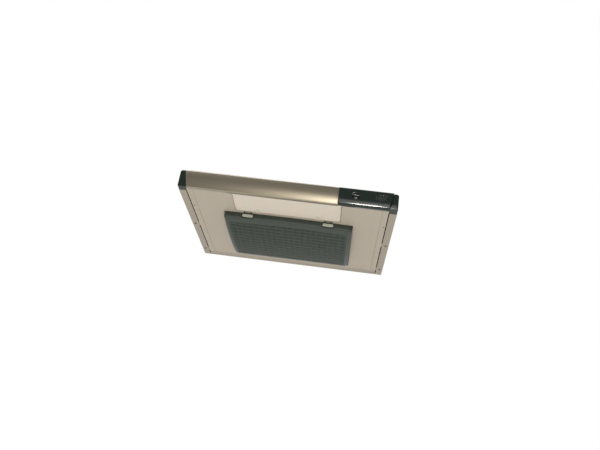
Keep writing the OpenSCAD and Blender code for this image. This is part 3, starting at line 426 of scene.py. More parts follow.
zinc("galvanised", paint(176, 177, 172))
steel("spring_steel", paint(186, 187, 180), 0.22, (500.0, 2600.0, 2600.0))
steel("screw_steel", paint(92, 80, 62), 0.34, (1400.0, 1400.0, 500.0), 0.9)
steel("bright_steel", paint(205, 204, 198), 0.16, (400.0, 400.0, 3600.0))
steel("aluminium_mesh", paint(92, 95, 90), 0.40, (1100.0, 1100.0, 1100.0), 0.85)
steel("cap_brass", paint(196, 178, 128), 0.26, (3000.0, 500.0, 500.0))
steel("cast_bracket", paint(168, 171, 172), 0.40, (420.0, 420.0, 420.0), 0.9)
steel("sinter_bronze", paint(172, 128, 72), 0.46, (2400.0, 2400.0, 2400.0), 0.9)
layered("lamination", paint(128, 130, 132), paint(66, 66, 66), 1.0 * MM, 0.8, 0.32)
layered("copper_winding", paint(176, 98, 48), paint(74, 32, 14), 0.8 * MM, 0.75, 0.24)
layered("holder_plastic", paint(232, 229, 217), paint(214, 210, 196), 4.0 * MM, 0.0, 0.3, "X")
lens_stuff("lens_plastic", paint(212, 200, 184))
frosted_glass("lamp_glass", paint(240, 238, 228))
grained("black_rubber", paint(30, 31, 30), 0.62, 600.0, 30e-6, 0.2)
gloss_moulding("wire_pvc", paint(208, 205, 192), 0.26)

for node, slot in slot_of.items():
    for holder in frame["nodes"][node].material_slots:
        holder.material = finishes[slot].material

ground = Finish("floor_paper")
ground.feed(base_color=ground.tinted(ground.noise(2.0), FLOOR_GREY, 0.985, 1.0),
            roughness=0.85 + 0.1 * ground.noise(40.0))
floor.data.materials.append(ground.material)
print(len(finishes), "finishes, on", len(slot_of), "nodes")

# %% [markdown]
# ## Surfaces as grids of points
# Most covers on a hood are one curve carried along another: a bowed front along its width, a
# knob's outline round its axis, a wall along its plan. Each is a grid of points, worked out
# as whole arrays.

# %% Turn grids into pieces
BODY_HOOD = "hood_body"
WELD = 2e-6
BEVEL_ANGLE = 38.0


def skin(points, wrap=False, ends=False):
    """Faces over a grid of rows and columns of points. Each face joins four neighbours.
    wrap joins the last column to the first, and ends closes the first and last rows."""
    rows, columns = points.shape[:2]
    index = np.arange(rows * columns).reshape(rows, columns)
    wide = np.hstack([index, index[:, :1]]) if wrap else index
    quads = np.stack([wide[:-1, :-1], wide[:-1, 1:], wide[1:, 1:], wide[1:, :-1]], axis=-1)
    faces = quads.reshape(-1, 4).tolist()
    if ends:
        faces += [index[0, ::-1].tolist(), index[-1].tolist()]
    return points.reshape(-1, 3), faces


def merge(parts):
    """Join (points, faces) parts into one: each part's face numbers move up by what came first."""
    points = np.vstack([part[0] for part in parts])
    starts = np.cumsum([0] + [len(part[0]) for part in parts])
    faces = [[vertex + int(start) for vertex in face]
             for part, start in zip(parts, starts) for face in part[1]]
    return points, faces


def weld(mesh, reach):
    """Merge points closer than reach, and turn every face outwards."""
    work = bmesh.new()
    work.from_mesh(mesh)
    bmesh.ops.remove_doubles(work, verts=work.verts, dist=reach)
    bmesh.ops.dissolve_degenerate(work, edges=work.edges, dist=reach)
    bmesh.ops.recalc_face_normals(work, faces=work.faces)
    work.to_mesh(mesh)
    work.free()


def piece(name, parts, slot, nodes, body=BODY_HOOD, closed=True, crease=32.0,
          edge=0.0, steps=3, wall=0.0):
    """Build one object from parts in millimetres. closed shells are welded and turned
    outwards. edge rounds sharp edges by that many millimetres, and wall thickens a skin."""
    points, faces = merge(parts)
    mesh = bpy.data.meshes.new(name)
    mesh.from_pydata((points * MM).tolist(), [], faces)
    if closed:
        weld(mesh, WELD)
    mesh.shade_smooth()
    mesh.set_sharp_from_angle(angle=math.radians(crease))
    thing = bpy.data.objects.new(name, mesh)
    bpy.context.scene.collection.objects.link(thing)
    mesh.materials.append(finishes[slot].material)
    if edge:
        soft = thing.modifiers.new("soft_edge", "BEVEL")
        soft.width, soft.segments, soft.limit_method = edge * MM, steps, "ANGLE"
        soft.angle_limit, soft.harden_normals = math.radians(BEVEL_ANGLE), True
    if wall:
        thick = thing.modifiers.new("sheet", "SOLIDIFY")
        thick.thickness, thick.offset = wall * MM, -1.0
    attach(thing, body)
    if nodes:
        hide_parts(*nodes)
    print(f"{name}: {len(mesh.vertices)} points, {len(mesh.polygons)} faces")
    return thing


def sizes(node):
    """A node's lowest and highest corner in millimetres, as two arrays."""
    low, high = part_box(node)
    return np.array(low) / MM, np.array(high) / MM


def arc(centre, radius, start, end, count):
    """Points on a circle arc from start to end degrees: centre plus radius times the turn."""
    turn = np.radians(np.linspace(start, end, count))
    return np.column_stack([centre[0] + radius * np.cos(turn), centre[1] + radius * np.sin(turn)])


def rounded(corners, radii, count=6):
    """A closed outline with round corners. At each corner the two tangent points lie
    radius * cot(half the corner's angle) away, and an arc joins them."""
    corners = np.array(corners, float)
    before, after = np.roll(corners, 1, 0), np.roll(corners, -1, 0)
    back = (before - corners) / np.linalg.norm(before - corners, axis=1)[:, None]
    ahead = (after - corners) / np.linalg.norm(after - corners, axis=1)[:, None]
    half = np.arccos(np.clip((back * ahead).sum(1), -1.0, 1.0)) / 2.0
    radii = np.maximum(np.array(radii, float), 1e-3)
    reach = radii / np.tan(half)
    middle = back + ahead
    middle /= np.linalg.norm(middle, axis=1)[:, None]
    centre = corners + middle * (radii / np.sin(half))[:, None]
    first = corners + back * reach[:, None] - centre
    last = corners + ahead * reach[:, None] - centre
    start = np.arctan2(first[:, 1], first[:, 0])
    sweep = (np.arctan2(last[:, 1], last[:, 0]) - start + np.pi) % (2 * np.pi) - np.pi
    turn = start[:, None] + sweep[:, None] * np.linspace(0.0, 1.0, count)[None, :]
    ring = centre[:, None, :] + radii[:, None, None] * np.stack([np.cos(turn), np.sin(turn)], -1)
    return ring.reshape(-1, 2)


def placed(outline, level, order):
    """Lift a flat outline to 3-D. order names the axes of its two columns and of level."""
    flat = np.column_stack([outline, np.broadcast_to(level, len(outline))])
    return flat[:, [order.index(name) for name in "xyz"]]


def lathe(profile, centre, axis="y", count=64):
    """Turn a profile of (radius, position along the axis) once round the axis."""
    turn = np.linspace(0.0, 2 * np.pi, count, endpoint=False)
    profile = np.array(profile, float)
    across = profile[:, 0, None] * np.cos(turn), profile[:, 0, None] * np.sin(turn)
    along = np.repeat(profile[:, 1, None], count, 1)
    order = {"x": (along, across[0], across[1]), "y": (across[0], along, across[1]),
             "z": (across[0], across[1], along)}[axis]
    return skin(np.stack(order, -1) + np.array(centre), wrap=True)


def swept(across, section):
    """A grid: the section's (y, z) points, each repeated at its own row of x values."""
    return np.stack([across, np.broadcast_to(section[:, 0], across.shape),
                     np.broadcast_to(section[:, 1], across.shape)], -1)


def slab(outline, levels, order):
    """A closed block: the outline repeated at each level, with flat ends."""
    return skin(np.stack([placed(outline, level, order) for level in levels]),
                wrap=True, ends=True)


def rod(path, radius, count=10):
    """A round bar along a path: each ring is radius times two directions square to the path."""
    path = np.array(path, float)
    ahead = np.gradient(path, axis=0)
    ahead /= np.linalg.norm(ahead, axis=1)[:, None]
    guide = np.where(np.abs(ahead[:, 2:]) < 0.9, [[0.0, 0.0, 1.0]], [[1.0, 0.0, 0.0]])
    side = np.cross(ahead, guide)
    side /= np.linalg.norm(side, axis=1)[:, None]
    turn = np.linspace(0.0, 2 * np.pi, count, endpoint=False)
    ring = (np.cos(turn)[None, :, None] * side[:, None, :]
            + np.sin(turn)[None, :, None] * np.cross(ahead, side)[:, None, :])
    return skin(path[:, None, :] + radius * ring, wrap=True, ends=True)


print("surface helpers ready")

# %% [markdown]
# ## The bowed fascia
# The fascia is one folded strip. Its front is a shallow arc, and it returns under the hood and
# over its top. A box with a bevel would lose the arc, which is what draws the long gradient
# of light. So the fold's section is written as points and carried from the left end, which is
# cut at a slant beside the end cap, to the square right end. An extra row of points close to
# each end keeps the shading flat up to the cut.

# %% Build the fascia
low_corner, high_corner = sizes("fascia")
FRONT_Y, FASCIA_LOW = low_corner[1:]
FASCIA_END, FASCIA_BACK, FASCIA_TOP = high_corner
MID_Z = (FASCIA_LOW + FASCIA_TOP) / 2.0
BOW_R = 110.0
FLANGE_Y = FRONT_Y + 11.0
END_LOOP = 0.002
JOINT_TOP_X, JOINT_LOW_X = 286.6, 275.6


def bow(height):
    """Depth of the bowed front at a height: a circle of radius BOW_R about the mid height."""
    return FRONT_Y + BOW_R - np.sqrt(BOW_R ** 2 - (height - MID_Z) ** 2)


def joint_x(height):
    """Where the slanted joint with an end cap stands at a height: a straight line."""
    share = (height - FASCIA_LOW) / (FASCIA_TOP - FASCIA_LOW)
    return JOINT_LOW_X + share * (JOINT_TOP_X - JOINT_LOW_X)


heights = np.linspace(FASCIA_LOW, FASCIA_TOP, 29)
section = np.vstack([[[FLANGE_Y, FASCIA_LOW]], np.column_stack([bow(heights), heights]),
                     [[FASCIA_BACK, FASCIA_TOP]]])
stations = np.concatenate([[0.0, END_LOOP], np.linspace(0.08, 0.92, 11),
                           [1.0 - END_LOOP, 1.0]])[:, None]
left = -joint_x(section[:, 1])[None, :]
across = left + stations * (FASCIA_END - left)
piece("fascia_strip", [skin(swept(across, section))], "fascia_metal", ["fascia"], closed=False,
      edge=1.4, steps=5, wall=1.2)

# %% [markdown]
# ## The end caps
# Each cap is a hollow black moulding with a slanted inner side and one large round corner.
# Its face carries on the fascia's bow. The outline is drawn once from the front. Rings of it
# run forwards to the face, and smaller copies of the same ring close the face over the bow.

# %% Build the end caps
CAP_OUT, CAP_BACK = sizes("end_cap_right")[1][:2]
CAP_LIFT = 0.15
cap_corners = [(JOINT_LOW_X + 0.4, FASCIA_LOW + CAP_LIFT), (CAP_OUT, FASCIA_LOW + CAP_LIFT),
               (CAP_OUT, FASCIA_TOP), (JOINT_TOP_X + 0.4, FASCIA_TOP)]
cap_ring = rounded(cap_corners, [0.6, 1.6, 7.0, 0.6], 9)
cap_middle = cap_ring.mean(0)
shrink = np.array([1.0, 0.82, 0.6, 0.35, 0.12])
cap_rows = [placed(cap_ring, CAP_BACK, "xzy")]
cap_rows += [placed(cap_middle + share * (cap_ring - cap_middle),
                    bow(cap_middle[1] + share * (cap_ring[:, 1] - cap_middle[1])), "xzy")
             for share in shrink]
cap_rows.append(np.broadcast_to([cap_middle[0], bow(cap_middle[1]), cap_middle[1]],
                                cap_rows[0].shape))
cap_grid = np.stack(cap_rows)
back_face = [list(range(len(cap_ring)))]
for side, sign in (("left", -1.0), ("right", 1.0)):
    mirrored = cap_grid * np.array([sign, 1.0, 1.0])
    piece(f"end_cap_{side}_moulding", [skin(mirrored, wrap=True), (mirrored[0], back_face)],
          "black_moulding", [f"end_cap_{side}"], edge=1.3, steps=4)

# %% [markdown]
# ## The control panel
# This glossy moulding carries on the fascia's bow down to a small round at its lower edge.
# The bow just above that round catches the long white highlight. A row of points close to
# each end keeps the shading flat there. A window is left in the grid for the rocker's frame.

# %% Build the control panel
panel_low, panel_high = sizes("control_panel")
PANEL_LEFT, PANEL_LOW, PANEL_BACK = panel_low[0], panel_low[2], panel_high[1]
EDGE_R, RIM_LOOP = 4.0, 0.6
rocker_low, rocker_high = sizes("light_rocker")
ROCKER_X = (rocker_low[0] + rocker_high[0]) / 2.0
ROCKER_Z = (rocker_low[2] + rocker_high[2]) / 2.0
WINDOW, EDGE_TILT = (15.2, 7.5), 12.0

edge_centre = (bow(PANEL_LOW + EDGE_R) + EDGE_R, PANEL_LOW + EDGE_R)
round_edge = arc(edge_centre, EDGE_R, 270.0, 180.0 + EDGE_TILT, 12)
window_z = (ROCKER_Z - WINDOW[1], ROCKER_Z + WINDOW[1])
above = np.concatenate([np.linspace(round_edge[-1, 1] + 1.5, window_z[0], 9),
                        np.linspace(window_z[0], window_z[1], 7)[1:],
                        np.linspace(window_z[1], FASCIA_TOP, 5)[1:]])
section = np.vstack([[[FLANGE_Y - 2.0, PANEL_LOW]], round_edge,
                     np.column_stack([bow(above), above]), [[PANEL_BACK, FASCIA_TOP]]])
window_x = (ROCKER_X - WINDOW[0], ROCKER_X + WINDOW[0])
fixed = np.concatenate([[PANEL_LEFT, PANEL_LEFT + RIM_LOOP],
                        np.linspace(PANEL_LEFT + 12.0, window_x[0], 9),
                        np.linspace(window_x[0], window_x[1], 5)[1:]])
right = joint_x(section[:, 1])
across = np.vstack([np.repeat(fixed[:, None], len(section), 1), (fixed[-1] + right) / 2.0,
                    right - RIM_LOOP, right])
points, faces = skin(swept(across, section))
middles = points[np.array(faces)].mean(1)
kept = ~((np.abs(middles[:, 0] - ROCKER_X) < WINDOW[0])
         & (np.abs(middles[:, 2] - ROCKER_Z) < WINDOW[1]) & (middles[:, 1] < FRONT_Y + 4.0))
faces = [face for face, keep in zip(faces, kept) if keep]
piece("control_panel_moulding", [(points, faces)], "black_moulding", ["control_panel"],
      closed=False, edge=1.0, steps=3, wall=2.4)

# %% [markdown]
# ## The speed knob and the light rocker
# The knob is a turned disc with a grip bar across it. A cylinder with a box on it would have
# dead sharp rims, and rims are where a glossy knob shows its light. So the disc is a lathe
# profile with a drawn edge, and the bar is a stack of rounded outlines that narrows outwards.
# A pale line at one end of the bar shows the setting.

# %% Build the knob
knob_low, knob_high = sizes("speed_knob")
KNOB = ((knob_low[0] + knob_high[0]) / 2.0, (knob_low[2] + knob_high[2]) / 2.0)
KNOB_OUT, KNOB_BASE, KNOB_R = knob_low[1], knob_high[1], 12.5
disc = [(0.0, KNOB_BASE), (KNOB_R - 0.3, KNOB_BASE), (KNOB_R, KNOB_BASE - 0.3),
        (KNOB_R, KNOB_BASE - 2.0), (KNOB_R - 0.5, KNOB_BASE - 2.5), (KNOB_R - 1.3, KNOB_BASE - 2.8),
        (KNOB_R - 1.9, KNOB_BASE - 4.0), (KNOB_R - 2.6, KNOB_BASE - 4.4),
        (KNOB_R - 4.5, KNOB_BASE - 4.85), (KNOB_R - 7.0, KNOB_BASE - 5.1), (0.0, KNOB_BASE - 5.2)]
bar_rows = []
for level, inset in ((KNOB_BASE - 4.0, 0.0), (KNOB_OUT + 1.6, 0.35), (KNOB_OUT + 0.6, 0.6),
                     (KNOB_OUT + 0.15, 1.1), (KNOB_OUT, 1.8)):
    half, rise = 11.7 - inset, 3.0 - inset * 0.8
    outline = rounded([(-half, -rise), (half, -rise), (half, rise), (-half, rise)],
                      [max(2.6 - inset, 0.5)] * 4, 7) + KNOB
    bar_rows.append(placed(outline, level, "xzy"))
grip = skin(np.stack(bar_rows), wrap=True, ends=True)
piece("speed_knob_moulding", [lathe(disc, (KNOB[0], 0.0, KNOB[1])), grip],
      "knob_plastic", ["speed_knob"], body="knob", crease=28.0)
pointer = rounded([(-10.6, -0.45), (-4.6, -0.45), (-4.6, 0.45), (-10.6, 0.45)], [0.4] * 4, 4)
piece("speed_knob_line", [slab(pointer + KNOB, (KNOB_OUT, KNOB_OUT + 0.9), "xzy")],
      "latch_plastic", [], body="knob")

# %% [markdown]
# The rocker is a paddle with a dished face, seven degrees off level at rest. Its outline is
# seen from above and carried along its height, with a small round on every edge.

# %% Build the rocker
ROCKER_HALF, ROCKER_RISE, DISH_R, PIVOT_Y, TILT = 13.5, 6.0, 46.0, FRONT_Y + 6.0, -7.0
spots = np.linspace(-ROCKER_HALF + 0.3, ROCKER_HALF - 0.3, 25)
dish = np.maximum(-7.4, -52.4 + np.sqrt(DISH_R ** 2 - spots ** 2))
dish[[0, -1]] += 0.6
paddle = np.vstack([np.column_stack([spots, dish]),
                    [[ROCKER_HALF - 1.0, 3.0], [-ROCKER_HALF + 1.0, 3.0]]])
turn = math.radians(TILT)
spin = np.array([[math.cos(turn), -math.sin(turn)], [math.sin(turn), math.cos(turn)]])
paddle = paddle @ spin.T + [ROCKER_X, PIVOT_Y]
levels = (ROCKER_Z - ROCKER_RISE, ROCKER_Z + ROCKER_RISE)
piece("light_rocker_paddle", [slab(paddle, levels, "xyz")], "rocker_plastic",
      ["light_rocker"], body="rocker", edge=0.5, steps=3)

# %% [markdown]
# ## Printed marks
# The panel carries a few small dark marks: a dot and bars for the speeds and for the lamp.
# They say nothing, and they follow the bow of the panel. Each is a thin raised shape, a
# tenth of a millimetre proud, like thick ink.

# %% Print the marks
INK = 0.1


def printed(outline, at):
    """Ink on the bowed panel: the outline, moved to a spot, and pushed on to the bow."""
    ring = outline + at
    return skin(np.stack([placed(ring, bow(ring[:, 1]) + sunk, "xzy") for sunk in (0.3, -INK)]),
                wrap=True, ends=True)


def tick(width, height):
    """A small bar with round corners, about the origin."""
    half, rise = width / 2.0, height / 2.0
    return rounded([(-half, -rise), (half, -rise), (half, rise), (-half, rise)], [0.25] * 4, 4)


marks = [printed(tick(width, height), (across, FASCIA_LOW + up))
         for width, height, across, up in (
             (1.0, 1.0, KNOB[0] - 27.0, 29.0), (2.6, 0.9, KNOB[0] - 27.0, 17.5),
             (2.6, 0.9, KNOB[0] - 27.0, 41.5), (2.2, 0.9, KNOB[0] + 17.5, 29.0),
             (5.5, 0.8, ROCKER_X - 2.0, 43.5), (0.9, 4.0, ROCKER_X - 21.0, 29.0))]
piece("control_marks", marks, "rocker_plastic", [], crease=60.0)

# %% [markdown]
# ## The filter tray
# The tray is one deep moulding: round walls, a sagging floor, and a grille of crossing ribs
# in front of the mat. Cutting thousands of slots out of a plate would be slow and heavy.
# Building it the way a mould does is light: a frame round one large opening, and straight
# ribs across it that follow the floor's arc. The pockets for the two latches are cut from the
# closed frame, so that the latches can slide into them.

# %% Shape the tray's frame
def carve(part, cutters):
    """Subtract closed cutters from a closed part, and give back points and faces."""
    made = []
    for shapes in ([part], cutters):
        points, faces = merge(shapes)
        mesh = bpy.data.meshes.new("work")
        mesh.from_pydata(points.tolist(), [], faces)
        weld(mesh, WELD / MM)
        made.append(bpy.data.objects.new("work", mesh))
        bpy.context.scene.collection.objects.link(made[-1])
    cut = made[0].modifiers.new("cut", "BOOLEAN")
    cut.object, cut.operation, cut.solver = made[1], "DIFFERENCE", "EXACT"
    done = made[0].evaluated_get(bpy.context.evaluated_depsgraph_get()).data
    spots = np.empty(len(done.vertices) * 3)
    done.vertices.foreach_get("co", spots)
    faces = [list(face.vertices) for face in done.polygons]
    for thing in made:
        bpy.data.objects.remove(thing)
    return spots.reshape(-1, 3), faces


def block(low, high):
    """A plain box between two corners, for a cutter or a hidden web."""
    outline = np.array([(low[0], low[1]), (high[0], low[1]), (high[0], high[1]), (low[0], high[1])])
    return slab(outline, (low[2], high[2]), "xyz")


TRAY_HALF, TRAY_FRONT, TRAY_REAR, TRAY_TOP = 186.0, -210.0, 100.0, -125.0
TRAY_BOW, TRAY_WALL, EDGE_ROUND = 5.0, 2.5, 7.0
HINGE_Y, HINGE_Z, HINGE_R = 88.0, -126.0, 12.0
SAG_R, SAG_Y, SAG_Z = 1438.5, -106.0, 1287.9
LIP_LOW, LIP_TOP, POCKET_FLOOR = -133.6, -129.2, -144.0
LATCH_X, POCKET_HALF, POCKET_DEEP = 116.0, 16.5, 17.0
WALL_Y = TRAY_FRONT - TRAY_BOW * (1.0 - (LATCH_X / TRAY_HALF) ** 2)


def floor_z(depth):
    """Height of the tray's floor: a wide arc, then a quarter round about the hinge."""
    sag = SAG_Z - np.sqrt(SAG_R ** 2 - (np.minimum(depth, HINGE_Y) - SAG_Y) ** 2)
    past = np.clip((depth - HINGE_Y) / HINGE_R, 0.0, 1.0)
    return HINGE_Z + (sag - HINGE_Z) * np.sqrt(1.0 - past ** 2)


def tray_ring(inset, front=0.0, rear=0.0, radius=None):
    """The tray's plan moved in by inset: four round corners, with points between them, and
    a front edge that bows forwards as a parabola."""
    half, near, far = TRAY_HALF - inset, TRAY_FRONT + inset + front, TRAY_REAR - inset - rear
    radii = [max(r - inset, 1.0) if radius is None else radius for r in (9.0, 9.0, 20.0, 20.0)]
    corners = [(-half, near), (half, near), (half, far), (-half, far)]
    arcs = rounded(corners, radii, 9).reshape(4, 9, 2)
    share = np.linspace(0.0, 1.0, 26)[1:-1, None]
    rows = []
    for index in range(4):
        here, there = arcs[index, -1], arcs[(index + 1) % 4, 0]
        rows += [arcs[index], here + share * (there - here)]
    ring = np.vstack(rows)
    weight = np.clip((far - ring[:, 1]) / (far - near), 0.0, 1.0) ** 6
    ring[:, 1] -= TRAY_BOW * weight * (1.0 - (ring[:, 0] / TRAY_HALF) ** 2)
    return ring


def raised(ring, height):
    """A ring of (x, y) points at one height, or at a height for each point."""
    return placed(ring, height, "xyz")


GRILLE_SIDE, GRILLE_FRONT, GRILLE_REAR = 13.0, 17.0, 8.0
outer = tray_ring(0.0)
rows = [raised(tray_ring(0.5), TRAY_TOP), raised(outer, TRAY_TOP - 0.5)]
for turn in np.radians([0.0, 12.0, 24.0, 36.0, 48.0, 60.0, 75.0, 90.0]):
    ring = tray_ring(EDGE_ROUND * (1.0 - math.cos(turn)))
    height = floor_z(ring[:, 1]) + EDGE_ROUND * (1.0 - math.sin(turn))
    rows.append(raised(ring, np.minimum(height, TRAY_TOP - 1.0)))
mouth = tray_ring(GRILLE_SIDE, GRILLE_FRONT, GRILLE_REAR, 4.0)
inner = [tray_ring(EDGE_ROUND + TRAY_WALL), tray_ring(TRAY_WALL + 1.5), tray_ring(TRAY_WALL)]
rows += [raised(mouth, floor_z(mouth[:, 1])), raised(mouth, floor_z(mouth[:, 1]) + TRAY_WALL),
         raised(inner[0], floor_z(inner[0][:, 1]) + TRAY_WALL),
         raised(inner[1], np.minimum(floor_z(inner[1][:, 1]) + TRAY_WALL + 1.5, TRAY_TOP - 0.8)),
         raised(inner[2], np.minimum(floor_z(inner[2][:, 1]) + EDGE_ROUND, TRAY_TOP - 0.6)),
         raised(inner[2], TRAY_TOP), rows[0]]
frame_part = skin(np.stack(rows), wrap=True)

cutters = []
for sign in (-1.0, 1.0):
    middle = sign * LATCH_X
    cutters += [block((middle - POCKET_HALF, WALL_Y - 12, POCKET_FLOOR),
                      (middle + POCKET_HALF, WALL_Y + 9, LIP_LOW)),
                block((middle - 12.0, WALL_Y - 12, LIP_TOP),
                      (middle + 12.0, WALL_Y + 9, TRAY_TOP + 2))]
frame_part = carve(frame_part, cutters)
print("tray frame", len(frame_part[1]), "faces")

# %% [markdown]
# Each rib is a bar of few faces. Thin slats run across the hood, with a thicker one at every
# third place. Bars run from front to back, and three deep webs inside carry the mat.

# %% Add the ribs, webs, pockets and pins
SLAT_PITCH, BAR_PITCH, RIB_DEEP, STATIONS = 7.33, 17.0, 2.6, 30


def slat(depth, thick):
    """One straight slat at a depth: a chamfered strip as long as the opening is wide."""
    low, half = floor_z(depth), thick / 2.0
    outline = np.array([(depth - half, low + 0.4), (depth - half + 0.4, low),
                        (depth + half - 0.4, low), (depth + half, low + 0.4),
                        (depth + half, low + RIB_DEEP), (depth - half, low + RIB_DEEP)])
    reach = TRAY_HALF - GRILLE_SIDE + 1.0
    return slab(outline, (-reach, reach), "yzx")


def bar(across, thick, height=None, near=-199.0, far=86.0):
    """One bar from front to back: its section stands on the floor's arc at every station.
    height is the level of its top; without it the bar is as deep as a slat."""
    depth = np.linspace(near, far, STATIONS)
    low, half = floor_z(depth), thick / 2.0
    top = low + RIB_DEEP if height is None else np.full(STATIONS, height)
    lift = 0.7 if height is None else RIB_DEEP - 1.0
    ring = np.stack([np.stack([np.full(STATIONS, across + x), depth, z], -1)
                     for x, z in ((-half, low + 0.4 + lift), (-half + 0.3, low + lift),
                                  (half - 0.3, low + lift), (half, low + 0.4 + lift),
                                  (half, top), (-half, top))], 1)
    return skin(ring, wrap=True, ends=True)


mouth_near, mouth_far = mouth[:, 1].min() + 3.0, mouth[:, 1].max()
slat_depths = np.arange(mouth_near + SLAT_PITCH / 2.0, mouth_far - 1.0, SLAT_PITCH)
ribs = [slat(depth, 5.6 if index % 3 == 1 else 3.4) for index, depth in enumerate(slat_depths)]
bars = np.arange(-10, 11) * BAR_PITCH
ribs += [bar(across, 2.4, near=mouth_near - 4.0) for across in bars]
mat_low, mat_high = sizes("grease_mat")
ribs += [bar(across, 2.0, mat_low[2] - 0.1, mat_low[1], mat_high[1])
         for across in (-90.0, 6.0, 90.0)]

extras = []
for sign in (-1.0, 1.0):
    middle = sign * LATCH_X
    out, far = POCKET_HALF + 1.5, WALL_Y + POCKET_DEEP
    u_shape = np.array([(-out, WALL_Y + 2.2), (-out, far + 1.5), (out, far + 1.5),
                        (out, WALL_Y + 2.2), (POCKET_HALF, WALL_Y + 2.2), (POCKET_HALF, far),
                        (-POCKET_HALF, far), (-POCKET_HALF, WALL_Y + 2.2)]) + [middle, 0.0]
    extras += [slab(u_shape, (POCKET_FLOOR, TRAY_TOP - 3.0), "xyz"),
               block((middle - out, WALL_Y + 1.5, POCKET_FLOOR - 1.5),
                     (middle + out, far + 1.5, POCKET_FLOOR))]
    pin = [(0.0, 177.5), (5.0, 177.5), (5.0, 181.5), (2.0, 181.5), (2.0, 190.0),
           (1.5, 190.5), (0.0, 190.5)]
    extras.append(lathe([(radius, sign * along) for radius, along in pin],
                        (0.0, HINGE_Y, HINGE_Z), "x", 24))
piece("filter_tray_moulding", [frame_part] + ribs + extras, "tray_plastic", ["filter_tray"],
      body="filter_tray_assembly", crease=40.0)

# %% [markdown]
# ## The grease mat
# The mat is several layers of expanded aluminium pressed together. Its strands make small
# diamonds that show only as glints behind the ribs. A woven mesh of real strands would take
# millions of faces, so the face is one grid, raised where two crossed waves meet. A row of
# faces round the grid's rim closes the layers into one body.

# %% Build the mat
MAT_PITCH, MAT_RELIEF, MAT_COLUMNS, MAT_ROWS = 7.0, 0.8, 176, 130
columns = np.linspace(mat_low[0] + 1.0, mat_high[0] - 1.0, MAT_COLUMNS)
depths = np.linspace(mat_low[1] + 1.0, mat_high[1] - 1.0, MAT_ROWS)
across, depth = np.meshgrid(columns, depths, indexing="ij")
weave = (np.sin(2 * np.pi * (across + 1.6 * depth) / MAT_PITCH)
         * np.sin(2 * np.pi * (across - 1.6 * depth) / MAT_PITCH))
edge_fade = np.minimum.reduce([across - mat_low[0], mat_high[0] - across,
                               depth - mat_low[1], mat_high[1] - depth]) / 6.0
fade = np.clip(edge_fade, 0.0, 1.0)
under = mat_low[2] + 0.1 + MAT_RELIEF * (0.5 + 0.5 * weave) + 1.5 * (1.0 - fade)
over = mat_high[2] - 0.1 - MAT_RELIEF * (0.5 - 0.5 * weave) - 1.5 * (1.0 - fade)
lower, upper = (np.stack([across, depth, level], -1) for level in (under, over))
index = np.arange(MAT_COLUMNS * MAT_ROWS).reshape(MAT_COLUMNS, MAT_ROWS)
rim = np.concatenate([index[:, 0], index[-1, 1:], index[-2::-1, -1], index[0, -2:0:-1]])
lower_points, lower_faces = skin(lower)
upper_points, upper_faces = skin(upper)
side = skin(np.stack([lower_points[rim], upper_points[rim]]), wrap=True)
piece("grease_mat_layers", [(lower_points, lower_faces), (upper_points, upper_faces), side],
      "aluminium_mesh", ["grease_mat"], body="filter_tray_assembly", crease=60.0)

# %% [markdown]
# ## The two latches
# A pale plastic tab stands in front of the tray's wall. Behind the wall it joins a slide, and a
# tongue reaches forwards over the steel panel. The tab is what shows, so it gets round ends
# and a soft edge. The hidden slide is plain, and stays clear of the wall's lip.

# %% Build the latches
TAB_HALF, TAB_LOW, TAB_TOP = 15.5, -142.0, -134.0
TONGUE_Y, TONGUE_LOW, TONGUE_TOP, TONGUE_HALF = sizes("latch_right")[0][1], -128.2, -126.8, 8.0
for side, sign in (("left", -1.0), ("right", 1.0)):
    middle = sign * LATCH_X
    tab = rounded([(middle - TAB_HALF, TAB_LOW), (middle + TAB_HALF, TAB_LOW),
                   (middle + TAB_HALF, TAB_TOP), (middle - TAB_HALF, TAB_TOP)], [3.4] * 4, 6)
    centre = tab.mean(0)
    face = centre + 0.93 * (tab - centre)
    levels = [(tab, WALL_Y + 0.4), (tab, WALL_Y - 1.8), (face, WALL_Y - 2.7)]
    front = skin(np.stack([placed(ring, level, "xzy") for ring, level in levels]),
                 wrap=True, ends=True)
    slide = block((middle - 14.0, WALL_Y + 0.3, TAB_LOW + 0.6),
                  (middle + 14.0, WALL_Y + 7.0, TAB_TOP - 2.4))
    far_top = (middle + TONGUE_HALF, WALL_Y + 4.7, TONGUE_TOP)
    neck = block((middle - TONGUE_HALF, WALL_Y + 2.9, TAB_TOP - 3.0), far_top)
    tongue = block((middle - TONGUE_HALF, TONGUE_Y, TONGUE_LOW), far_top)
    piece(f"latch_{side}_moulding", [front, slide, neck, tongue], "latch_plastic",
          [f"latch_{side}"], body=f"{side}_latch", edge=0.35, steps=2)

# %% [markdown]
# The spring behind each latch is a steel strip folded to and fro. Its centre line is straight
# legs joined by half circles, and the strip is that line moved to both sides by half its
# thickness.

# %% Build the latch springs
LEG, LEGS, STRIP, PRESSED = 4.2, 4, 0.6, 0.48
SPRING_LEVELS = (-141.5, -138.5)
spring_y0 = WALL_Y + 7.5
fold = (WALL_Y + POCKET_DEEP - 0.5 - spring_y0) / (LEGS - 1)
line = []
for leg in range(LEGS):
    way = 1.0 if leg % 2 == 0 else -1.0
    line.append(np.column_stack([way * np.linspace(-LEG, LEG, 6), np.full(6, leg * fold)]))
    if leg < LEGS - 1:
        bend = arc((0.0, leg * fold + fold / 2.0), fold / 2.0, -90.0, 90.0, 9)[1:-1]
        line.append(np.column_stack([way * (LEG + bend[:, 0]), bend[:, 1]]))
line = np.vstack(line)
ahead = np.gradient(line, axis=0)
ahead /= np.linalg.norm(ahead, axis=1)[:, None]
normal = np.column_stack([-ahead[:, 1], ahead[:, 0]])
strip = np.vstack([line + normal * STRIP / 2.0, (line - normal * STRIP / 2.0)[::-1]])
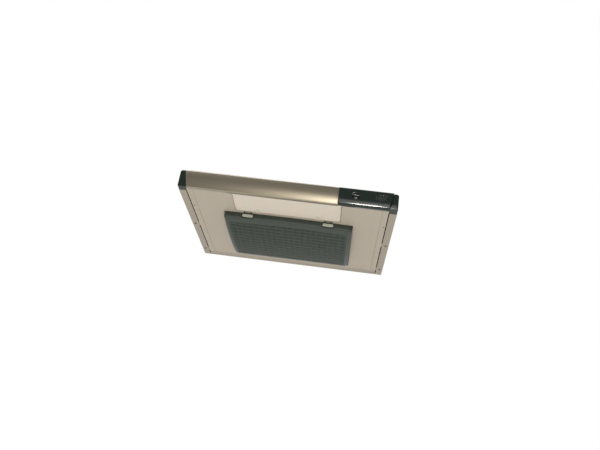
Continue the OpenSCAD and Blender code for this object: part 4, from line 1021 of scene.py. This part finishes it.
for side, sign in (("left", -1.0), ("right", 1.0)):
    outline = strip + [sign * LATCH_X, spring_y0]
    spring = piece(f"latch_spring_{side}_strip", [slab(outline, SPRING_LEVELS, "xyz")],
                   "spring_steel", [f"latch_spring_{side}"], body="filter_tray_assembly",
                   crease=50.0)
    held_at = (sign * LATCH_X * MM, (WALL_Y + POCKET_DEEP - 0.5) * MM, SPRING_LEVELS[0] * MM)
    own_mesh(spring)

# %% [markdown]
# ## The lamp lens
# An opal plastic door covers the lamps. Its rim is a little lower than its field, it has two
# slits for a fingernail, and it hangs on a round edge at the front. The door is a stack of
# rounded outlines: down the edge, round it, across the rim, and up one small step.

# %% Build the lens
LENS_HALF, LENS_BACK, LENS_LOW, LENS_TOP = 149.5, -230.0, -131.0, -129.0
BARREL_Y, BARREL_Z, BARREL_R = -324.5, -127.5, 3.5
SLIT_X, SLIT_Y = 87.0, -238.0


def lens_ring(inset):
    """The lens's plan moved in by inset, square at the hinge and round at the back."""
    half, near, far = LENS_HALF - inset, BARREL_Y + inset, LENS_BACK - inset
    radii = [0.8, 0.8, max(7.0 - inset, 1.0), max(7.0 - inset, 1.0)]
    return rounded([(-half, near), (half, near), (half, far), (-half, far)], radii, 8)


levels = [(0.0, LENS_TOP), (0.0, LENS_LOW + 0.7), (0.2, LENS_LOW + 0.25), (0.7, LENS_LOW),
          (5.0, LENS_LOW), (5.5, LENS_LOW + 0.15), (5.9, LENS_LOW + 0.5)]
plate = skin(np.stack([placed(lens_ring(inset), level, "xyz") for inset, level in levels]),
             wrap=True, ends=True)
slits = [block((sign * SLIT_X - 6.0, SLIT_Y - 2.2, LENS_LOW - 2.0),
               (sign * SLIT_X + 6.0, SLIT_Y + 2.2, LENS_TOP + 2.0)) for sign in (-1.0, 1.0)]
plate = carve(plate, slits)
barrel = lathe([(0.0, -LENS_HALF), (BARREL_R - 0.5, -LENS_HALF), (BARREL_R, -LENS_HALF + 0.5),
                (BARREL_R, LENS_HALF - 0.5), (BARREL_R - 0.5, LENS_HALF), (0.0, LENS_HALF)],
               (0.0, BARREL_Y, BARREL_Z), "x", 32)
lens_parts = [plate, barrel]
INNER_HALF, INNER_NEAR, INNER_FAR, RIM_TOP = 142.0, -317.0, -232.0, -125.5
for low, high in (((-INNER_HALF, INNER_NEAR), (INNER_HALF, INNER_NEAR + 2)),
                  ((-INNER_HALF, INNER_FAR - 2), (INNER_HALF, INNER_FAR)),
                  ((-INNER_HALF, INNER_NEAR), (-INNER_HALF + 2, INNER_FAR)),
                  ((INNER_HALF - 2, INNER_NEAR), (INNER_HALF, INNER_FAR))):
    lens_parts.append(block((*low, LENS_TOP - 0.1), (*high, RIM_TOP)))
for sign in (-1.0, 1.0):
    middle = sign * SLIT_X
    hood = rounded([(middle - 6.5, SLIT_Y - 4.6), (middle + 6.5, SLIT_Y - 4.6),
                    (middle + 6.5, SLIT_Y - 2.3), (middle - 6.5, SLIT_Y - 2.3)], [1.0] * 4, 4)
    lens_parts += [slab(hood, (LENS_LOW - 0.5, LENS_LOW + 0.6), "xyz"),
                   block((middle - 5.0, LENS_BACK - 1.0, LENS_LOW),
                         (middle + 5.0, LENS_BACK + 3.6, LENS_LOW + 0.7)),
                   lathe([(0.0, sign * 148.5), (1.5, sign * 148.5), (1.5, sign * 152.2),
                          (1.0, sign * 152.7), (0.0, sign * 152.7)],
                         (0.0, BARREL_Y, BARREL_Z), "x", 16)]
piece("lamp_lens_moulding", lens_parts, "lens_plastic", ["lamp_lens"], body="lens",
      edge=0.15, steps=2)

# %% [markdown]
# ## Screws, rivets and bulbs
# Four pan-head screws hold the bottom panel to the rails, and two small rivets pin its
# front corners. A cylinder would do at arm's length, but the round head and the cross recess
# are what say "screw". Each head is a lathe profile, and the recess is a cross cut out of it.

# %% Turn the fixings
SCREW_X, SCREW_DEPTHS, PANEL_FACE = 291.0, (-96.0, 102.0), -130.0
RIVET_X, RIVET_Y = 272.2, -225.0
HEAD = [(0.0, 8.0), (0.6, 8.0), (1.5, 6.6), (1.5, 0.0), (3.4, 0.0), (3.4, -0.35), (3.15, -0.85),
        (2.5, -1.2), (1.3, -1.38), (0.0, -1.4)]
DOME = [(0.0, 1.8), (1.5, 1.8), (1.5, 0.0), (2.4, 0.0), (2.25, -0.3), (1.6, -0.5), (0.0, -0.6)]
SLOT_HALF, SLOT_REACH, SLOT_DEEP = 0.42, 1.9, 0.8
cross = np.array([(SLOT_HALF, SLOT_HALF), (SLOT_HALF, SLOT_REACH), (-SLOT_HALF, SLOT_REACH),
                  (-SLOT_HALF, SLOT_HALF), (-SLOT_REACH, SLOT_HALF), (-SLOT_REACH, -SLOT_HALF),
                  (-SLOT_HALF, -SLOT_HALF), (-SLOT_HALF, -SLOT_REACH), (SLOT_HALF, -SLOT_REACH),
                  (SLOT_HALF, -SLOT_HALF), (SLOT_REACH, -SLOT_HALF), (SLOT_REACH, SLOT_HALF)])
screws, rivets = [], []
for sign in (-1.0, 1.0):
    for depth in SCREW_DEPTHS:
        place = (sign * SCREW_X, depth, PANEL_FACE)
        recess = slab(cross + place[:2], (PANEL_FACE - 3.0, PANEL_FACE - 1.4 + SLOT_DEEP), "xyz")
        screws.append(carve(lathe(HEAD, place, "z", 24), [recess]))
    rivets.append(lathe(DOME, (sign * RIVET_X, RIVET_Y, PANEL_FACE), "z", 24))
piece("panel_screw_heads", screws, "screw_steel", ["panel_screws"], crease=30.0)
piece("panel_rivet_domes", rivets, "screw_steel", ["panel_rivets"], crease=40.0)

# %% [markdown]
# The two lamps are small pearl bulbs, pear-shaped, with a neck that narrows into the cap. The
# wires are round leads that bend gently from part to part, so their route is a smooth curve
# through a few measured points.

# %% Turn the bulbs and run the wires
bulb_low, bulb_high = sizes("lamp_bulbs")
BULB_R = (bulb_high[2] - bulb_low[2]) / 2.0
BULB_Y, BULB_Z = (bulb_low[1] + bulb_high[1]) / 2.0, (bulb_low[2] + bulb_high[2]) / 2.0
NECK_R, NECK_END, CROWN = 7.0, bulb_high[0], 66.0
turn = np.radians(np.linspace(90.0, 0.0, 13))
crown = np.column_stack([BULB_R * np.cos(turn), NECK_END - CROWN + BULB_R * (1.0 - np.sin(turn))])
share = np.linspace(0.0, 1.0, 9)[1:]
swell = NECK_R + (BULB_R - NECK_R) * (0.5 + 0.5 * np.cos(np.pi * share ** 2.2))
neck = np.column_stack([swell, crown[-1, 1] + share * (NECK_END - crown[-1, 1])])
pear = np.vstack([crown, neck, [[0.0, NECK_END]]])
bulbs = [lathe(pear * [1.0, sign], (0.0, BULB_Y, BULB_Z), "x", 32) for sign in (-1.0, 1.0)]
piece("lamp_bulb_glass", bulbs, "lamp_glass", ["lamp_bulbs"], crease=50.0)

WIRE_R = 2.5
motor_lead = [(159, 70, -20), (140, 70, -18), (110, 58, -10), (84, 12, -9), (50, -32, -9),
              (4, -54, -9), (-20, -64, -9), (-36, -72, -12)]
switch_lead = [(200, 49, -20), (200, 30, -20), (215, -10, -14), (232, -70, -12), (238, -140, -14),
               (236, -190, -36), (232, -240, -64), (228, -280, -90), (222, -300, -104),
               (206, -303, -108)]


def smooth(points, steps=6):
    """A curve through the points: between two of them, a cubic whose slopes at both ends
    are half the step from the point before to the point after."""
    points = np.array(points, float)
    slope = np.gradient(points, axis=0)
    share = np.linspace(0.0, 1.0, steps, endpoint=False)[None, :, None]
    first, last = points[:-1, None], points[1:, None]
    leave, reach = slope[:-1, None], slope[1:, None]
    curve = ((2 * share ** 3 - 3 * share ** 2 + 1) * first
             + (share ** 3 - 2 * share ** 2 + share) * leave
             + (3 * share ** 2 - 2 * share ** 3) * last + (share ** 3 - share ** 2) * reach)
    return np.vstack([curve.reshape(-1, 3), points[-1:]])


leads = [rod(smooth(route), WIRE_R, 16) for route in (motor_lead, switch_lead)]
piece("wiring_loom_leads", leads, "wire_pvc", ["wiring_loom"], crease=60.0)
